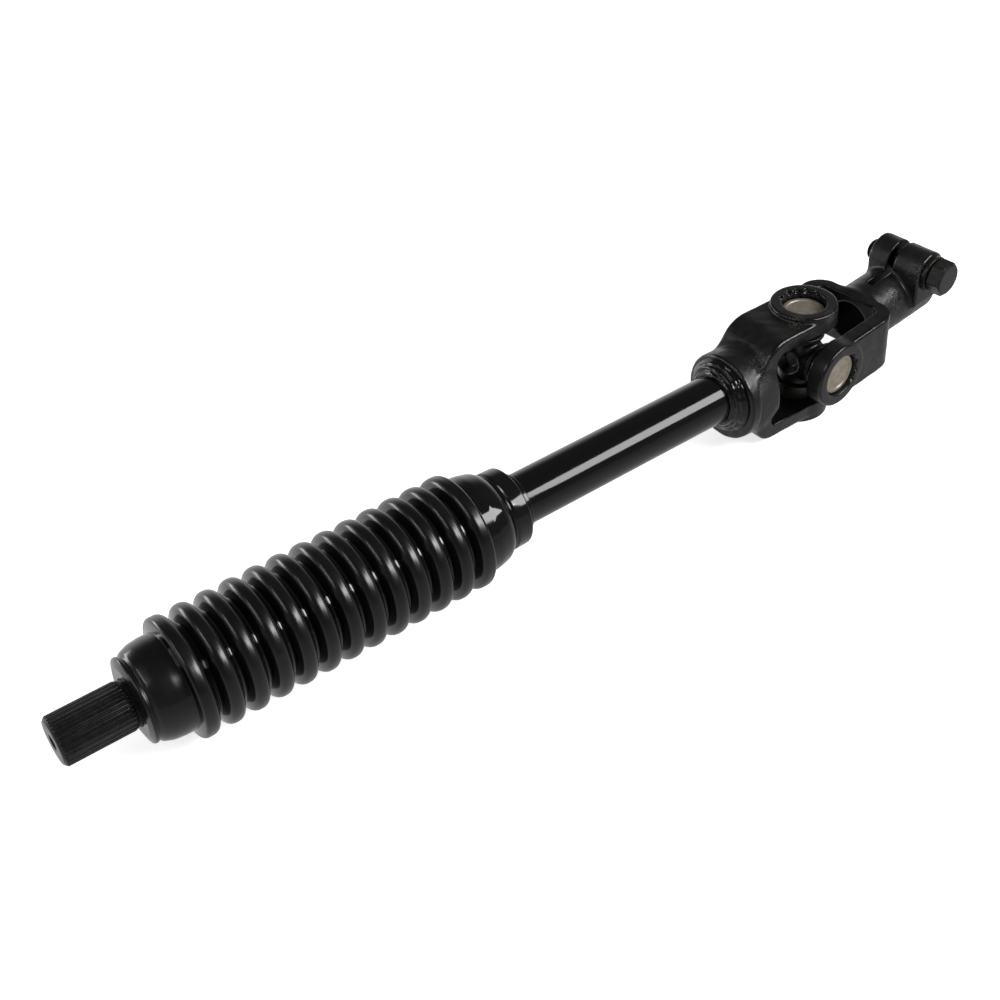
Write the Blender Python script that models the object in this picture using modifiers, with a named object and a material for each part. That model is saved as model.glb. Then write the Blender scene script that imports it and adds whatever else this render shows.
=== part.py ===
"""Intermediate steering shaft.

A splined lower shaft telescopes in a steel tube under a rubber bellows boot.  The tube is
welded to a forged yoke, and a spider in needle bearings joins that yoke to a forged clamp
yoke with a slotted stem and a pinch bolt.

X runs along the shaft from the splined end to the universal joint, and Z is up.  At rest
the joint is slightly bent, and the shaft lies on the lower ear of the tube yoke and on the
boot.  Everything is in metres.
"""

import math

import bmesh
import bpy
from mathutils import Matrix, Vector

MM = 0.001

# Clearances
SEAT_GAP = 0.3 * MM
SLIP_FIT = 0.08 * MM
ROLL_FIT = 0.06 * MM
CUT_OVER = 2.0 * MM

# Splined lower shaft, stations counted from its end face
SPLINE_TEETH = 36
SPLINE_RADIUS = 9.525 * MM
SPLINE_TOOTH_DEPTH = 0.55 * MM
SPLINE_LENGTH = 26.0 * MM
SPLINE_RUNOUT = 1.5 * MM
END_CHAMFER = 1.25 * MM
CENTRE_HOLE_RADIUS = 3.3 * MM
CENTRE_HOLE_DEPTH = 5.0 * MM
JOURNAL_RADIUS = 9.15 * MM
JOURNAL_END = 33.0 * MM
SHAFT_COLLAR_RADIUS = 10.8 * MM
SHAFT_COLLAR_WIDTH = 3.5 * MM
SHANK_RADIUS = 8.3 * MM
SLIP_START = 60.0 * MM
SLIP_END = 250.0 * MM
SLIP_TEETH = 10
SLIP_RADIUS = 8.9 * MM
SLIP_TOOTH_DEPTH = 1.0 * MM
SLIP_CHAMFER = 1.0 * MM

# Shaft tube
TUBE_RADIUS = 10.84 * MM
TUBE_START = 100.0 * MM
TUBE_END_INSET = 14.0 * MM

# Boot, stations from the same face
BOOT_START = 28.7 * MM
BOOT_WALL = 1.8 * MM
BOOT_END_WALL = 2.6 * MM
BOOT_LIP_RADIUS = 16.7 * MM
BOOT_DOME_RADIUS = 19.1 * MM
BOOT_FOLDS = 13
BOOT_FIRST_FOLD = 48.4 * MM
BOOT_FOLD_PITCH = 9.9 * MM
BOOT_FOLD_RADIUS = 23.7 * MM
BOOT_VALLEY_RADIUS = 19.2 * MM
BOOT_CREST_WIDTH = 6.2 * MM
BOOT_TAIL_DOME_RADIUS = 20.2 * MM
BOOT_TAIL_LENGTH = 29.2 * MM
BOOT_NECK_RADIUS = 16.6 * MM
BOOT_NECK_LENGTH = 7.4 * MM
BOOT_FOOT_RADIUS = 12.6 * MM
BOOT_FOOT_LENGTH = 3.4 * MM

# Universal joint: its centre on the shaft, and how it is bent at rest
JOINT_STATION = 356.5 * MM
REST_YAW = math.radians(4.1)
REST_RISE = math.radians(3.0)

# Spider and bearings, distances from the joint centre
TRUNNION_RADIUS = 6.0 * MM
SHOULDER_RADIUS = 8.6 * MM
SHOULDER_REACH = 11.0 * MM
HUB_RADIUS = 11.2 * MM
HUB_HALF_WIDTH = 7.4 * MM
HUB_DISH_RADIUS = 5.6 * MM
HUB_DISH_DEPTH = 2.4 * MM
CUP_RADIUS = 9.5 * MM
CUP_FACE = 23.6 * MM
CUP_FLOOR = 2.0 * MM
CUP_MOUTH = 13.2 * MM
CUP_DISH_RADIUS = 7.2 * MM
CUP_DISH_DEPTH = 0.3 * MM
NEEDLE_RADIUS = 1.1 * MM
NEEDLE_COUNT = 10
NEEDLE_LENGTH = 7.8 * MM
CAGE_WALL = 0.9 * MM
SEAL_RADIUS = 10.3 * MM

# Tube yoke
EAR_RADIUS = 15.1 * MM
YOKE_HALF_WIDTH = 14.2 * MM
ARM_INNER = 18.0 * MM
ARM_OUTER = 25.0 * MM
BOSS_RADIUS = 15.1 * MM
BOSS_FACE = 27.3 * MM
YOKE_FLOOR = 25.4 * MM
UPPER_POCKET = 28.6 * MM
LOWER_POCKET = 29.5 * MM
UPPER_CORNER = 30.5 * MM
LOWER_CORNER = 33.5 * MM
COLLAR_START = 34.8 * MM
YOKE_COLLAR_RADIUS = 19.8 * MM
YOKE_COLLAR_DROP = 1.4 * MM
YOKE_COLLAR_END = 47.8 * MM
YOKE_FLAT_START = 42.0 * MM
WELD_WIDTH = 5.2 * MM
WELD_HEIGHT = 5.9 * MM

# Clamp yoke, along its own stem from the joint centre
CLAMP_ARM_INNER = 16.0 * MM
CLAMP_ARM_OUTER = 23.4 * MM
CLAMP_HALF_HEIGHT = 13.4 * MM
CLAMP_EAR_RADIUS = 14.8 * MM
CLAMP_EAR_INNER = 15.7 * MM
CLAMP_EAR_FACE = 24.2 * MM
CLAMP_FLOOR = 34.6 * MM
CLAMP_BACK = 40.0 * MM
CLAMP_CORNER_RADIUS = 10.5 * MM
STEM_RADIUS = 14.1 * MM
STEM_END = 80.5 * MM
CLAMP_BORE_RADIUS = 9.65 * MM
SLOT_START = 47.5 * MM
SLOT_HALF_WIDTH = 1.4 * MM
SLOT_SHIFT = 0.6 * MM
LUG_RADIUS = 9.5 * MM
LUG_HALF_WIDTH = 14.0 * MM
LUG_SHIFT = 2.4 * MM
BOLT_STATION = 71.0 * MM
BOLT_HEIGHT = 15.2 * MM

# Pinch bolt and its washer
BOLT_RADIUS = 4.76 * MM
HEAD_FLATS = 14.3 * MM
HEAD_HEIGHT = 6.9 * MM
HEAD_SEAT_RADIUS = 7.0 * MM
HEAD_SEAT_HEIGHT = 0.5 * MM
BOLT_OVERRUN = 2.8 * MM
WASHER_RADIUS = 8.3 * MM
WASHER_THICKNESS = 2.3 * MM
WASHER_SPLIT = 1.4 * MM

# Facets of round pieces
BOOT_STEPS = 22
ROUND_STEPS = 28
SMALL_STEPS = 18
ARC_STEPS = 6

AXIS_TURNS = {
    "X": (0.0, math.pi / 2, 0.0),
    "Y": (-math.pi / 2, 0.0, 0.0),
    "-Y": (math.pi / 2, 0.0, 0.0),
    "Z": (0.0, 0.0, 0.0),
    "-Z": (math.pi, 0.0, 0.0),
}


def new_collection(name):
    """Return a fresh collection linked to the scene."""
    collection = bpy.data.collections.new(name)
    bpy.context.scene.collection.children.link(collection)
    return collection


def make_material(name, colour, roughness, metallic):
    """Return a Principled BSDF material."""
    material = bpy.data.materials.new(name)
    material.use_nodes = True
    shader = material.node_tree.nodes["Principled BSDF"]
    shader.inputs["Base Color"].default_value = (*colour, 1.0)
    shader.inputs["Roughness"].default_value = roughness
    shader.inputs["Metallic"].default_value = metallic
    return material


def make_empty(name, collection, parent=None, location=(0, 0, 0), rotation=(0, 0, 0)):
    """Return an empty that carries the pieces of one moving group."""
    empty = bpy.data.objects.new(name, None)
    empty.empty_display_size = 0.02
    empty.parent = parent
    empty.location = location
    empty.rotation_euler = rotation
    collection.objects.link(empty)
    return empty


def place(name, mesh, collection, parent, location=(0, 0, 0), axis="Z", material=None):
    """Link a mesh as an object whose local Z lies along the named axis of its parent."""
    item = bpy.data.objects.new(name, mesh)
    item.parent = parent
    item.location = location
    item.rotation_euler = AXIS_TURNS[axis]
    if material is not None:
        mesh.materials.append(material)
    collection.objects.link(item)
    return item


def as_cutter(item):
    """Hide a guide from the model but keep it live for the Booleans that use it."""
    item.hide_render = True
    item.display_type = "WIRE"
    return item


def boolean(item, tool, operation):
    """Add an exact Boolean of the named kind."""
    step = item.modifiers.new(f"{operation.lower()}_{tool.name}", "BOOLEAN")
    step.operation = operation
    step.solver = "EXACT"
    step.object = tool
    return step


def across_flats(radius, sides):
    """Return the corner radius of a polygon whose flats lie at the given radius."""
    return radius / math.cos(math.pi / sides)


def turned(name, profile, steps, collection, parent, location=(0, 0, 0), axis="X",
           closed=False, material=None):
    """Turn a profile of (station, radius) pairs round the named axis.

    The pairs run along the outer side from the lowest station to the highest, and a closed
    profile comes back along its inner side.
    """
    mesh = bpy.data.meshes.new(name)
    points = [(radius, 0.0, station) for station, radius in reversed(profile)]
    edges = [(k, k + 1) for k in range(len(points) - 1)]
    if closed:
        edges.append((len(points) - 1, 0))
    mesh.from_pydata(points, edges, [])
    item = place(name, mesh, collection, parent, location, axis, material)
    screw = item.modifiers.new("turn", "SCREW")
    screw.axis = "Z"
    screw.steps = steps
    screw.render_steps = steps
    screw.use_merge_vertices = True
    screw.merge_threshold = 0.00001
    screw.use_smooth_shade = True
    return item


def fillet_outline(corners):
    """Return the points of an outline whose corners (x, y, radius) are rounded."""
    points = []
    count = len(corners)
    for k, (x, y, radius) in enumerate(corners):
        here = Vector((x, y))
        if radius <= 0.0:
            points.append((x, y))
            continue
        before = (Vector(corners[k - 1][:2]) - here).normalized()
        after = (Vector(corners[(k + 1) % count][:2]) - here).normalized()
        half = before.angle(after) / 2
        centre = here + (before + after).normalized() * (radius / math.sin(half))
        first = here + before * (radius / math.tan(half)) - centre
        last = here + after * (radius / math.tan(half)) - centre
        sweep = first.angle_signed(last)
        for n in range(ARC_STEPS + 1):
            turn = Matrix.Rotation(-sweep * n / ARC_STEPS, 2)
            spot = centre + turn @ first
            points.append((spot.x, spot.y))
    return points


def plate(name, outline, half_thickness, edge, collection, parent, location=(0, 0, 0),
          axis="Z", material=None):
    """Return a mesh object of a flat outline, as thick as stated, with chamfered edges."""
    curve = bpy.data.curves.new(f"{name}_outline", "CURVE")
    curve.dimensions = "2D"
    curve.fill_mode = "BOTH"
    curve.extrude = half_thickness - edge
    curve.bevel_depth = edge
    curve.bevel_resolution = 0
    curve.offset = -edge
    spline = curve.splines.new("POLY")
    spline.points.add(len(outline) - 1)
    for point, (x, y) in zip(spline.points, outline):
        point.co = (x, y, 0.0, 1.0)
    spline.use_cyclic_u = True
    guide = bpy.data.objects.new(f"{name}_guide", curve)
    collection.objects.link(guide)
    graph = bpy.context.evaluated_depsgraph_get()
    mesh = bpy.data.meshes.new_from_object(guide.evaluated_get(graph))
    bpy.data.objects.remove(guide)
    shape = bmesh.new()
    shape.from_mesh(mesh)
    bmesh.ops.remove_doubles(shape, verts=shape.verts, dist=0.000005)
    bmesh.ops.recalc_face_normals(shape, faces=shape.faces)
    shape.to_mesh(mesh)
    shape.free()
    mesh.name = name
    return place(name, mesh, collection, parent, location, axis, material)


def block(name, size, collection, parent, location):
    """Return a box of the given size centred at the location."""
    mesh = bpy.data.meshes.new(name)
    shape = bmesh.new()
    bmesh.ops.create_cube(shape, size=1.0, matrix=Matrix.Diagonal((*size, 1.0)))
    shape.to_mesh(mesh)
    shape.free()
    return place(name, mesh, collection, parent, location)


def rod(name, radius, low, high, steps, collection, parent, location=(0, 0, 0), axis="X"):
    """Return a plain cylinder between two stations of the named axis.

    It is turned half a facet, so its edges never meet those of a turned face it cuts.
    """
    profile = [(low, 0.0), (low, radius), (high, radius), (high, 0.0)]
    item = turned(name, profile, steps, collection, parent, location, axis)
    item.data.transform(Matrix.Rotation(math.pi / steps, 4, "Z"))
    return item


def toothed_bar(name, teeth, tip_radius, root_radius, stations, collection, parent,
                axis="X", material=None):
    """Loft a straight-toothed bar along the named axis.

    Each station is (distance, largest radius), so the teeth can run out or be chamfered.
    """
    pattern = ((0.10, root_radius), (0.36, tip_radius), (0.64, tip_radius), (0.90, root_radius))
    shape = bmesh.new()
    rings = []
    for station, limit in stations:
        ring = []
        for tooth in range(teeth):
            for part, radius in pattern:
                angle = 2 * math.pi * (tooth + part) / teeth
                reach = min(radius, limit)
                spot = (reach * math.cos(angle), reach * math.sin(angle), station)
                ring.append(shape.verts.new(spot))
        rings.append(ring)
    count = len(rings[0])
    for low, high in zip(rings[:-1], rings[1:]):
        for k in range(count):
            nxt = (k + 1) % count
            shape.faces.new((low[k], low[nxt], high[nxt], high[k]))
    shape.faces.new(rings[0])
    shape.faces.new(rings[-1])
    bmesh.ops.recalc_face_normals(shape, faces=shape.faces)
    mesh = bpy.data.meshes.new(name)
    shape.to_mesh(mesh)
    shape.free()
    return place(name, mesh, collection, parent, (0, 0, 0), axis, material)


def fold_station(index):
    """Return the station of one boot fold's crest."""
    return BOOT_FIRST_FOLD + BOOT_FOLD_PITCH * index


def boot_profile():
    """Return the boot's closed section as (station, radius) pairs."""
    nose = BOOT_START
    shaft_hole = JOURNAL_RADIUS + SEAT_GAP
    tube_hole = TUBE_RADIUS + SEAT_GAP
    lip_round = 1.1 * MM
    notch = 2.9 * MM
    crest_half = BOOT_CREST_WIDTH / 2
    crest_flat = crest_half - 1.5 * MM
    crest_drop = 1.7 * MM
    outer = [
        (nose, shaft_hole),
        (nose, BOOT_LIP_RADIUS - lip_round),
        (nose + 0.3 * lip_round, BOOT_LIP_RADIUS - 0.3 * lip_round),
        (nose + lip_round, BOOT_LIP_RADIUS),
        (nose + 0.8 * notch, BOOT_LIP_RADIUS),
        (nose + notch, BOOT_LIP_RADIUS - 0.5 * MM),
        (nose + notch + 1.2 * MM, BOOT_LIP_RADIUS + 0.8 * MM),
        (nose + notch + 3.8 * MM, BOOT_DOME_RADIUS - 0.6 * MM),
        (nose + notch + 8.5 * MM, BOOT_DOME_RADIUS),
    ]
    first = fold_station(0)
    last = fold_station(BOOT_FOLDS - 1)
    outer.append((first - crest_half - 0.4 * MM, BOOT_DOME_RADIUS))
    for index in range(BOOT_FOLDS):
        crest = fold_station(index)
        if index > 0:
            outer.append((crest - BOOT_FOLD_PITCH / 2, BOOT_VALLEY_RADIUS))
        outer.append((crest - crest_half, BOOT_FOLD_RADIUS - crest_drop))
        outer.append((crest - crest_flat, BOOT_FOLD_RADIUS))
        outer.append((crest + crest_flat, BOOT_FOLD_RADIUS))
        outer.append((crest + crest_half, BOOT_FOLD_RADIUS - crest_drop))
    tail_end = last + BOOT_TAIL_LENGTH
    neck_end = tail_end - BOOT_FOOT_LENGTH
    neck_start = neck_end - BOOT_NECK_LENGTH
    outer += [
        (last + crest_half + 0.7 * MM, BOOT_TAIL_DOME_RADIUS),
        (last + 0.44 * (neck_start - last), BOOT_TAIL_DOME_RADIUS),
        (last + 0.80 * (neck_start - last), BOOT_TAIL_DOME_RADIUS - 1.2 * MM),
        (neck_start, BOOT_NECK_RADIUS - 0.6 * MM),
        (neck_start + 0.8 * MM, BOOT_NECK_RADIUS),
        (neck_end - 0.8 * MM, BOOT_NECK_RADIUS - 0.2 * MM),
        (neck_end, BOOT_NECK_RADIUS - 1.2 * MM),
        (neck_end + 0.2 * MM, BOOT_FOOT_RADIUS),
        (tail_end, BOOT_FOOT_RADIUS - 0.3 * MM),
        (tail_end, tube_hole),
    ]
    neck_hollow = BOOT_NECK_RADIUS - BOOT_WALL - 0.6 * MM
    inner = [
        (neck_end - BOOT_END_WALL, tube_hole),
        (neck_end - BOOT_END_WALL, neck_hollow),
        (neck_start, neck_hollow),
        (last + 0.5 * (neck_start - last), BOOT_TAIL_DOME_RADIUS - BOOT_WALL),
    ]
    for index in reversed(range(BOOT_FOLDS)):
        crest = fold_station(index)
        inner.append((crest, BOOT_FOLD_RADIUS - BOOT_WALL))
        if index > 0:
            middle = crest - BOOT_FOLD_PITCH / 2
            inner.append((middle, BOOT_VALLEY_RADIUS - BOOT_WALL))
    inner += [
        (first - crest_half, BOOT_DOME_RADIUS - BOOT_WALL),
        (nose + notch + 4.0 * MM, BOOT_DOME_RADIUS - BOOT_WALL - 1.0 * MM),
        (nose + BOOT_END_WALL, BOOT_LIP_RADIUS - BOOT_WALL - 0.6 * MM),
        (nose + BOOT_END_WALL, shaft_hole),
    ]
    return outer + inner


def build_splined_shaft(parts, cutters, parent, steel):
    """Build the lower shaft: fine spline, journal, collar, shank and slip spline."""
    root = SPLINE_RADIUS - SPLINE_TOOTH_DEPTH
    spline_end = SPLINE_LENGTH + SPLINE_RUNOUT
    collar_end = JOURNAL_END + SHAFT_COLLAR_WIDTH
    core = [
        (SPLINE_LENGTH, 0.0),
        (SPLINE_LENGTH, root - 0.5 * MM),
        (spline_end, root - 0.5 * MM),
        (spline_end, JOURNAL_RADIUS),
        (JOURNAL_END, JOURNAL_RADIUS),
        (JOURNAL_END, SHAFT_COLLAR_RADIUS),
        (collar_end, SHAFT_COLLAR_RADIUS),
        (collar_end, SHANK_RADIUS),
        (SLIP_START + 2 * SLIP_CHAMFER, SHANK_RADIUS - SLIP_TOOTH_DEPTH),
        (SLIP_START + 2 * SLIP_CHAMFER, 0.0),
    ]
    shaft = turned("splined_shaft", core, ROUND_STEPS, parts, parent, material=steel)
    stub_stations = [
        (0.0, SPLINE_RADIUS - END_CHAMFER),
        (END_CHAMFER, SPLINE_RADIUS),
        (SPLINE_LENGTH, SPLINE_RADIUS),
        (spline_end, root),
    ]
    stub = toothed_bar("join_spline_stub", SPLINE_TEETH, SPLINE_RADIUS, root, stub_stations,
                       cutters, parent)
    slip_root = SLIP_RADIUS - SLIP_TOOTH_DEPTH
    slip_stations = [
        (SLIP_START, slip_root - SLIP_CHAMFER),
        (SLIP_START + SLIP_CHAMFER, SLIP_RADIUS),
        (SLIP_END - SLIP_CHAMFER, SLIP_RADIUS),
        (SLIP_END, slip_root - SLIP_CHAMFER),
    ]
    slip = toothed_bar("join_slip_spline", SLIP_TEETH, SLIP_RADIUS, slip_root, slip_stations,
                       cutters, parent)
    drill_profile = [
        (-CUT_OVER, 0.0),
        (-CUT_OVER, CENTRE_HOLE_RADIUS + CUT_OVER),
        (0.0, CENTRE_HOLE_RADIUS),
        (0.45 * CENTRE_HOLE_DEPTH, 0.5 * CENTRE_HOLE_RADIUS),
        (CENTRE_HOLE_DEPTH, 0.4 * CENTRE_HOLE_RADIUS),
        (CENTRE_HOLE_DEPTH, 0.0),
    ]
    drill = turned("cut_centre_hole", drill_profile, SMALL_STEPS, cutters, parent)
    boolean(shaft, as_cutter(stub), "UNION")
    boolean(shaft, as_cutter(slip), "UNION")
    boolean(shaft, as_cutter(drill), "DIFFERENCE")
    return shaft


def build_tube(parts, cutters, parent, steel):
    """Build the shaft tube with its toothed bore."""
    tube_end = JOINT_STATION - YOKE_COLLAR_END + TUBE_END_INSET
    tube = rod("shaft_tube", TUBE_RADIUS, TUBE_START, tube_end, ROUND_STEPS, parts, parent)
    tube.data.materials.append(steel)
    bore_stations = [
        (TUBE_START - CUT_OVER, SLIP_RADIUS + SLIP_FIT),
        (tube_end + CUT_OVER, SLIP_RADIUS + SLIP_FIT),
    ]
    bore = toothed_bar("cut_tube_bore", SLIP_TEETH, SLIP_RADIUS + SLIP_FIT,
                       SLIP_RADIUS - SLIP_TOOTH_DEPTH + SLIP_FIT, bore_stations, cutters, parent)
    boolean(tube, as_cutter(bore), "DIFFERENCE")
    return tube


def build_weld(parts, parent, steel):
    """Build the weld bead between the tube and the yoke collar."""
    toe = JOINT_STATION - YOKE_COLLAR_END - SEAT_GAP
    inner = TUBE_RADIUS + SEAT_GAP
    profile = [
        (toe - WELD_WIDTH, inner),
        (toe - WELD_WIDTH, inner + 0.15 * WELD_HEIGHT),
        (toe - 0.45 * WELD_WIDTH, inner + 0.75 * WELD_HEIGHT),
        (toe, inner + WELD_HEIGHT),
        (toe, inner),
    ]
    return turned("weld_bead", profile, ROUND_STEPS, parts, parent, closed=True, material=steel)


def build_tube_yoke(parts, cutters, parent, paint):
    """Build the welded yoke: a collar, two arms with raised ears, and side flats."""
    floor = YOKE_FLOOR
    reach = EAR_RADIUS + CUT_OVER
    collar_end = YOKE_COLLAR_END
    fork = fillet_outline([
        (reach, ARM_OUTER, 0.0),
        (-UPPER_CORNER, ARM_OUTER, 14 * MM),
        (-UPPER_CORNER - 10 * MM, ARM_OUTER - 14.8 * MM, 0.0),
        (-LOWER_CORNER - 8 * MM, -ARM_OUTER + 13 * MM, 0.0),
        (-LOWER_CORNER, -ARM_OUTER, 8 * MM),
        (reach, -ARM_OUTER, 0.0),
        (reach, -ARM_INNER, 0.0),
        (-LOWER_POCKET, -ARM_INNER, 2.5 * MM),
        (-LOWER_POCKET, -ARM_INNER + 4.2 * MM, 1 * MM),
        (-floor, -ARM_INNER + 8.2 * MM, 1 * MM),
        (-floor, -ARM_INNER + 12.5 * MM, 5 * MM),
        (-UPPER_POCKET, ARM_INNER - 8.5 * MM, 6 * MM),
        (-UPPER_POCKET, ARM_INNER, 4.5 * MM),
        (reach, ARM_INNER, 0.0),
    ])
    yoke = plate("tube_yoke", fork, YOKE_HALF_WIDTH, 0.8 * MM, parts, parent, axis="-Y",
                 material=paint)
    plan = [(-collar_end, -EAR_RADIUS), (-collar_end, EAR_RADIUS)]
    for n in range(2 * ARC_STEPS + 1):
        angle = math.pi / 2 - math.pi * n / (2 * ARC_STEPS)
        plan.append((EAR_RADIUS * math.cos(angle), EAR_RADIUS * math.sin(angle)))
    ends = plate("keep_ear_ends", plan, ARM_OUTER + CUT_OVER, 0.0, cutters, parent)
    collar_profile = [
        (-collar_end, 0.0),
        (-collar_end, YOKE_COLLAR_RADIUS - 1.2 * MM),
        (-collar_end + 1.2 * MM, YOKE_COLLAR_RADIUS),
        (-COLLAR_START, YOKE_COLLAR_RADIUS),
        (-floor - 1 * MM, 0.8 * YOKE_COLLAR_RADIUS),
        (-floor - 1 * MM, 0.0),
    ]
    collar = turned("join_collar", collar_profile, ROUND_STEPS, cutters, parent,
                    (0, 0, -YOKE_COLLAR_DROP))
    flat_length = YOKE_FLAT_START - floor + 2 * MM
    for side, name in ((1, "cut_far_flat"), (-1, "cut_near_flat")):
        width = YOKE_COLLAR_RADIUS
        middle = (-YOKE_FLAT_START + flat_length / 2, side * (YOKE_HALF_WIDTH + width / 2), 0)
        flat = block(name, (flat_length, width, 4 * ARM_OUTER), cutters, parent, middle)
        boolean(collar, as_cutter(flat), "DIFFERENCE")
    boolean(yoke, as_cutter(ends), "INTERSECT")
    boolean(yoke, as_cutter(collar), "UNION")
    boss_profile = [
        (ARM_OUTER - 3 * MM, 0.0),
        (ARM_OUTER - 3 * MM, BOSS_RADIUS - 0.4 * MM),
        (BOSS_FACE - 0.8 * MM, BOSS_RADIUS - 0.4 * MM),
        (BOSS_FACE, BOSS_RADIUS - 1.2 * MM),
        (BOSS_FACE, 0.0),
    ]
    for axis, name in (("Z", "join_top_boss"), ("-Z", "join_bottom_boss")):
        boss = turned(name, boss_profile, SMALL_STEPS, cutters, parent, axis=axis)
        boolean(yoke, as_cutter(boss), "UNION")
    socket = rod("cut_tube_socket", across_flats(TUBE_RADIUS + SEAT_GAP, ROUND_STEPS),
                 -collar_end - CUT_OVER, -collar_end + TUBE_END_INSET + SEAT_GAP,
                 ROUND_STEPS, cutters, parent)
    ear_bore = rod("cut_ear_bores", across_flats(CUP_RADIUS + SEAT_GAP, SMALL_STEPS),
                   -BOSS_FACE - CUT_OVER, BOSS_FACE + CUT_OVER, SMALL_STEPS, cutters, parent,
                   axis="Z")
    boolean(yoke, as_cutter(socket), "DIFFERENCE")
    boolean(yoke, as_cutter(ear_bore), "DIFFERENCE")
    return yoke


def build_spider(parts, cutters, parent, steel):
    """Build the cross: four trunnions with shoulders on a dished hub."""
    half = HUB_HALF_WIDTH
    hub_profile = [
        (-half, 0.0),
        (-half, HUB_DISH_RADIUS + 1.4 * MM),
        (-0.7 * half, 0.9 * HUB_RADIUS),
        (0.0, HUB_RADIUS),
        (0.7 * half, 0.9 * HUB_RADIUS),
        (half, HUB_DISH_RADIUS + 1.4 * MM),
        (half, 0.0),
    ]
    spider = turned("spider", hub_profile, SMALL_STEPS, parts, parent, material=steel)
    tip = CUP_FACE - CUP_FLOOR - SEAT_GAP
    shoulder = SHOULDER_REACH
    trunnion = [
        (shoulder, TRUNNION_RADIUS),
        (tip - 0.8 * MM, TRUNNION_RADIUS),
        (tip, TRUNNION_RADIUS - 0.8 * MM),
        (tip, 0.0),
    ]
    mirrored = [(-x, r) for x, r in reversed(trunnion)]
    pin_profile = mirrored + [(-shoulder, SHOULDER_RADIUS), (shoulder, SHOULDER_RADIUS)] + trunnion
    for axis, name in (("Z", "join_ear_pin"), ("Y", "join_clamp_pin")):
        pin = turned(name, pin_profile, SMALL_STEPS, cutters, parent, axis=axis)
        boolean(spider, as_cutter(pin), "UNION")
    dish_profile = [
        (half - HUB_DISH_DEPTH, 0.0),
        (half - HUB_DISH_DEPTH, 0.7 * HUB_DISH_RADIUS),
        (half, HUB_DISH_RADIUS),
        (half + CUT_OVER, HUB_DISH_RADIUS + CUT_OVER),
        (half + CUT_OVER, 0.0),
    ]
    back_dish = [(-x, r) for x, r in reversed(dish_profile)]
    for profile, name in ((dish_profile, "cut_front_dish"), (back_dish, "cut_back_dish")):
        dish = turned(name, profile, SMALL_STEPS, cutters, parent)
        boolean(spider, as_cutter(dish), "DIFFERENCE")
    return spider


def build_bearing(place_name, axis, parts, cutters, parent, steel, rubber):
    """Build one bearing on the named pin axis: its cup, caged needle rollers and seal."""
    needle_circle = TRUNNION_RADIUS + ROLL_FIT + NEEDLE_RADIUS
    cavity = across_flats(needle_circle + NEEDLE_RADIUS + ROLL_FIT, SMALL_STEPS)
    floor = CUP_FACE - CUP_FLOOR
    cup_profile = [
        (floor, 0.0),
        (floor, cavity),
        (CUP_MOUTH, cavity),
        (CUP_MOUTH, CUP_RADIUS),
        (CUP_FACE - 0.8 * MM, CUP_RADIUS),
        (CUP_FACE, CUP_RADIUS - 0.8 * MM),
        (CUP_FACE, CUP_DISH_RADIUS),
        (CUP_FACE - CUP_DISH_DEPTH, CUP_DISH_RADIUS - 0.4 * MM),
        (CUP_FACE - CUP_DISH_DEPTH, 0.0),
    ]
    cup = turned(f"cup_{place_name}", cup_profile, SMALL_STEPS, parts, parent, axis=axis,
                 material=steel)
    seal_profile = [
        (SHOULDER_REACH + SEAT_GAP, across_flats(TRUNNION_RADIUS + SEAT_GAP, SMALL_STEPS)),
        (SHOULDER_REACH + SEAT_GAP, SEAL_RADIUS - 0.5 * MM),
        (SHOULDER_REACH + SEAT_GAP + 0.5 * MM, SEAL_RADIUS),
        (CUP_MOUTH - SEAT_GAP, SEAL_RADIUS),
        (CUP_MOUTH - SEAT_GAP, across_flats(TRUNNION_RADIUS + SEAT_GAP, SMALL_STEPS)),
    ]
    turned(f"seal_{place_name}", seal_profile, SMALL_STEPS, parts, parent, axis=axis,
           closed=True, material=rubber)
    cage_inner = needle_circle - CAGE_WALL / 2
    cage_outer = needle_circle + CAGE_WALL / 2
    high = floor - SEAT_GAP
    low = high - NEEDLE_LENGTH
    needles = toothed_bar(f"needles_{place_name}", NEEDLE_COUNT,
                          needle_circle + NEEDLE_RADIUS, cage_outer,
                          [(low, CUP_RADIUS), (high, CUP_RADIUS)], parts, parent, axis, steel)
    hollow = toothed_bar(f"cut_needles_{place_name}", NEEDLE_COUNT,
                         cage_inner, needle_circle - NEEDLE_RADIUS,
                         [(low - CUT_OVER, CUP_RADIUS), (high + CUT_OVER, CUP_RADIUS)], cutters,
                         parent, axis)
    hollow.data.transform(Matrix.Rotation(math.pi / NEEDLE_COUNT, 4, "Z"))
    boolean(needles, as_cutter(hollow), "DIFFERENCE")
    return cup


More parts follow.
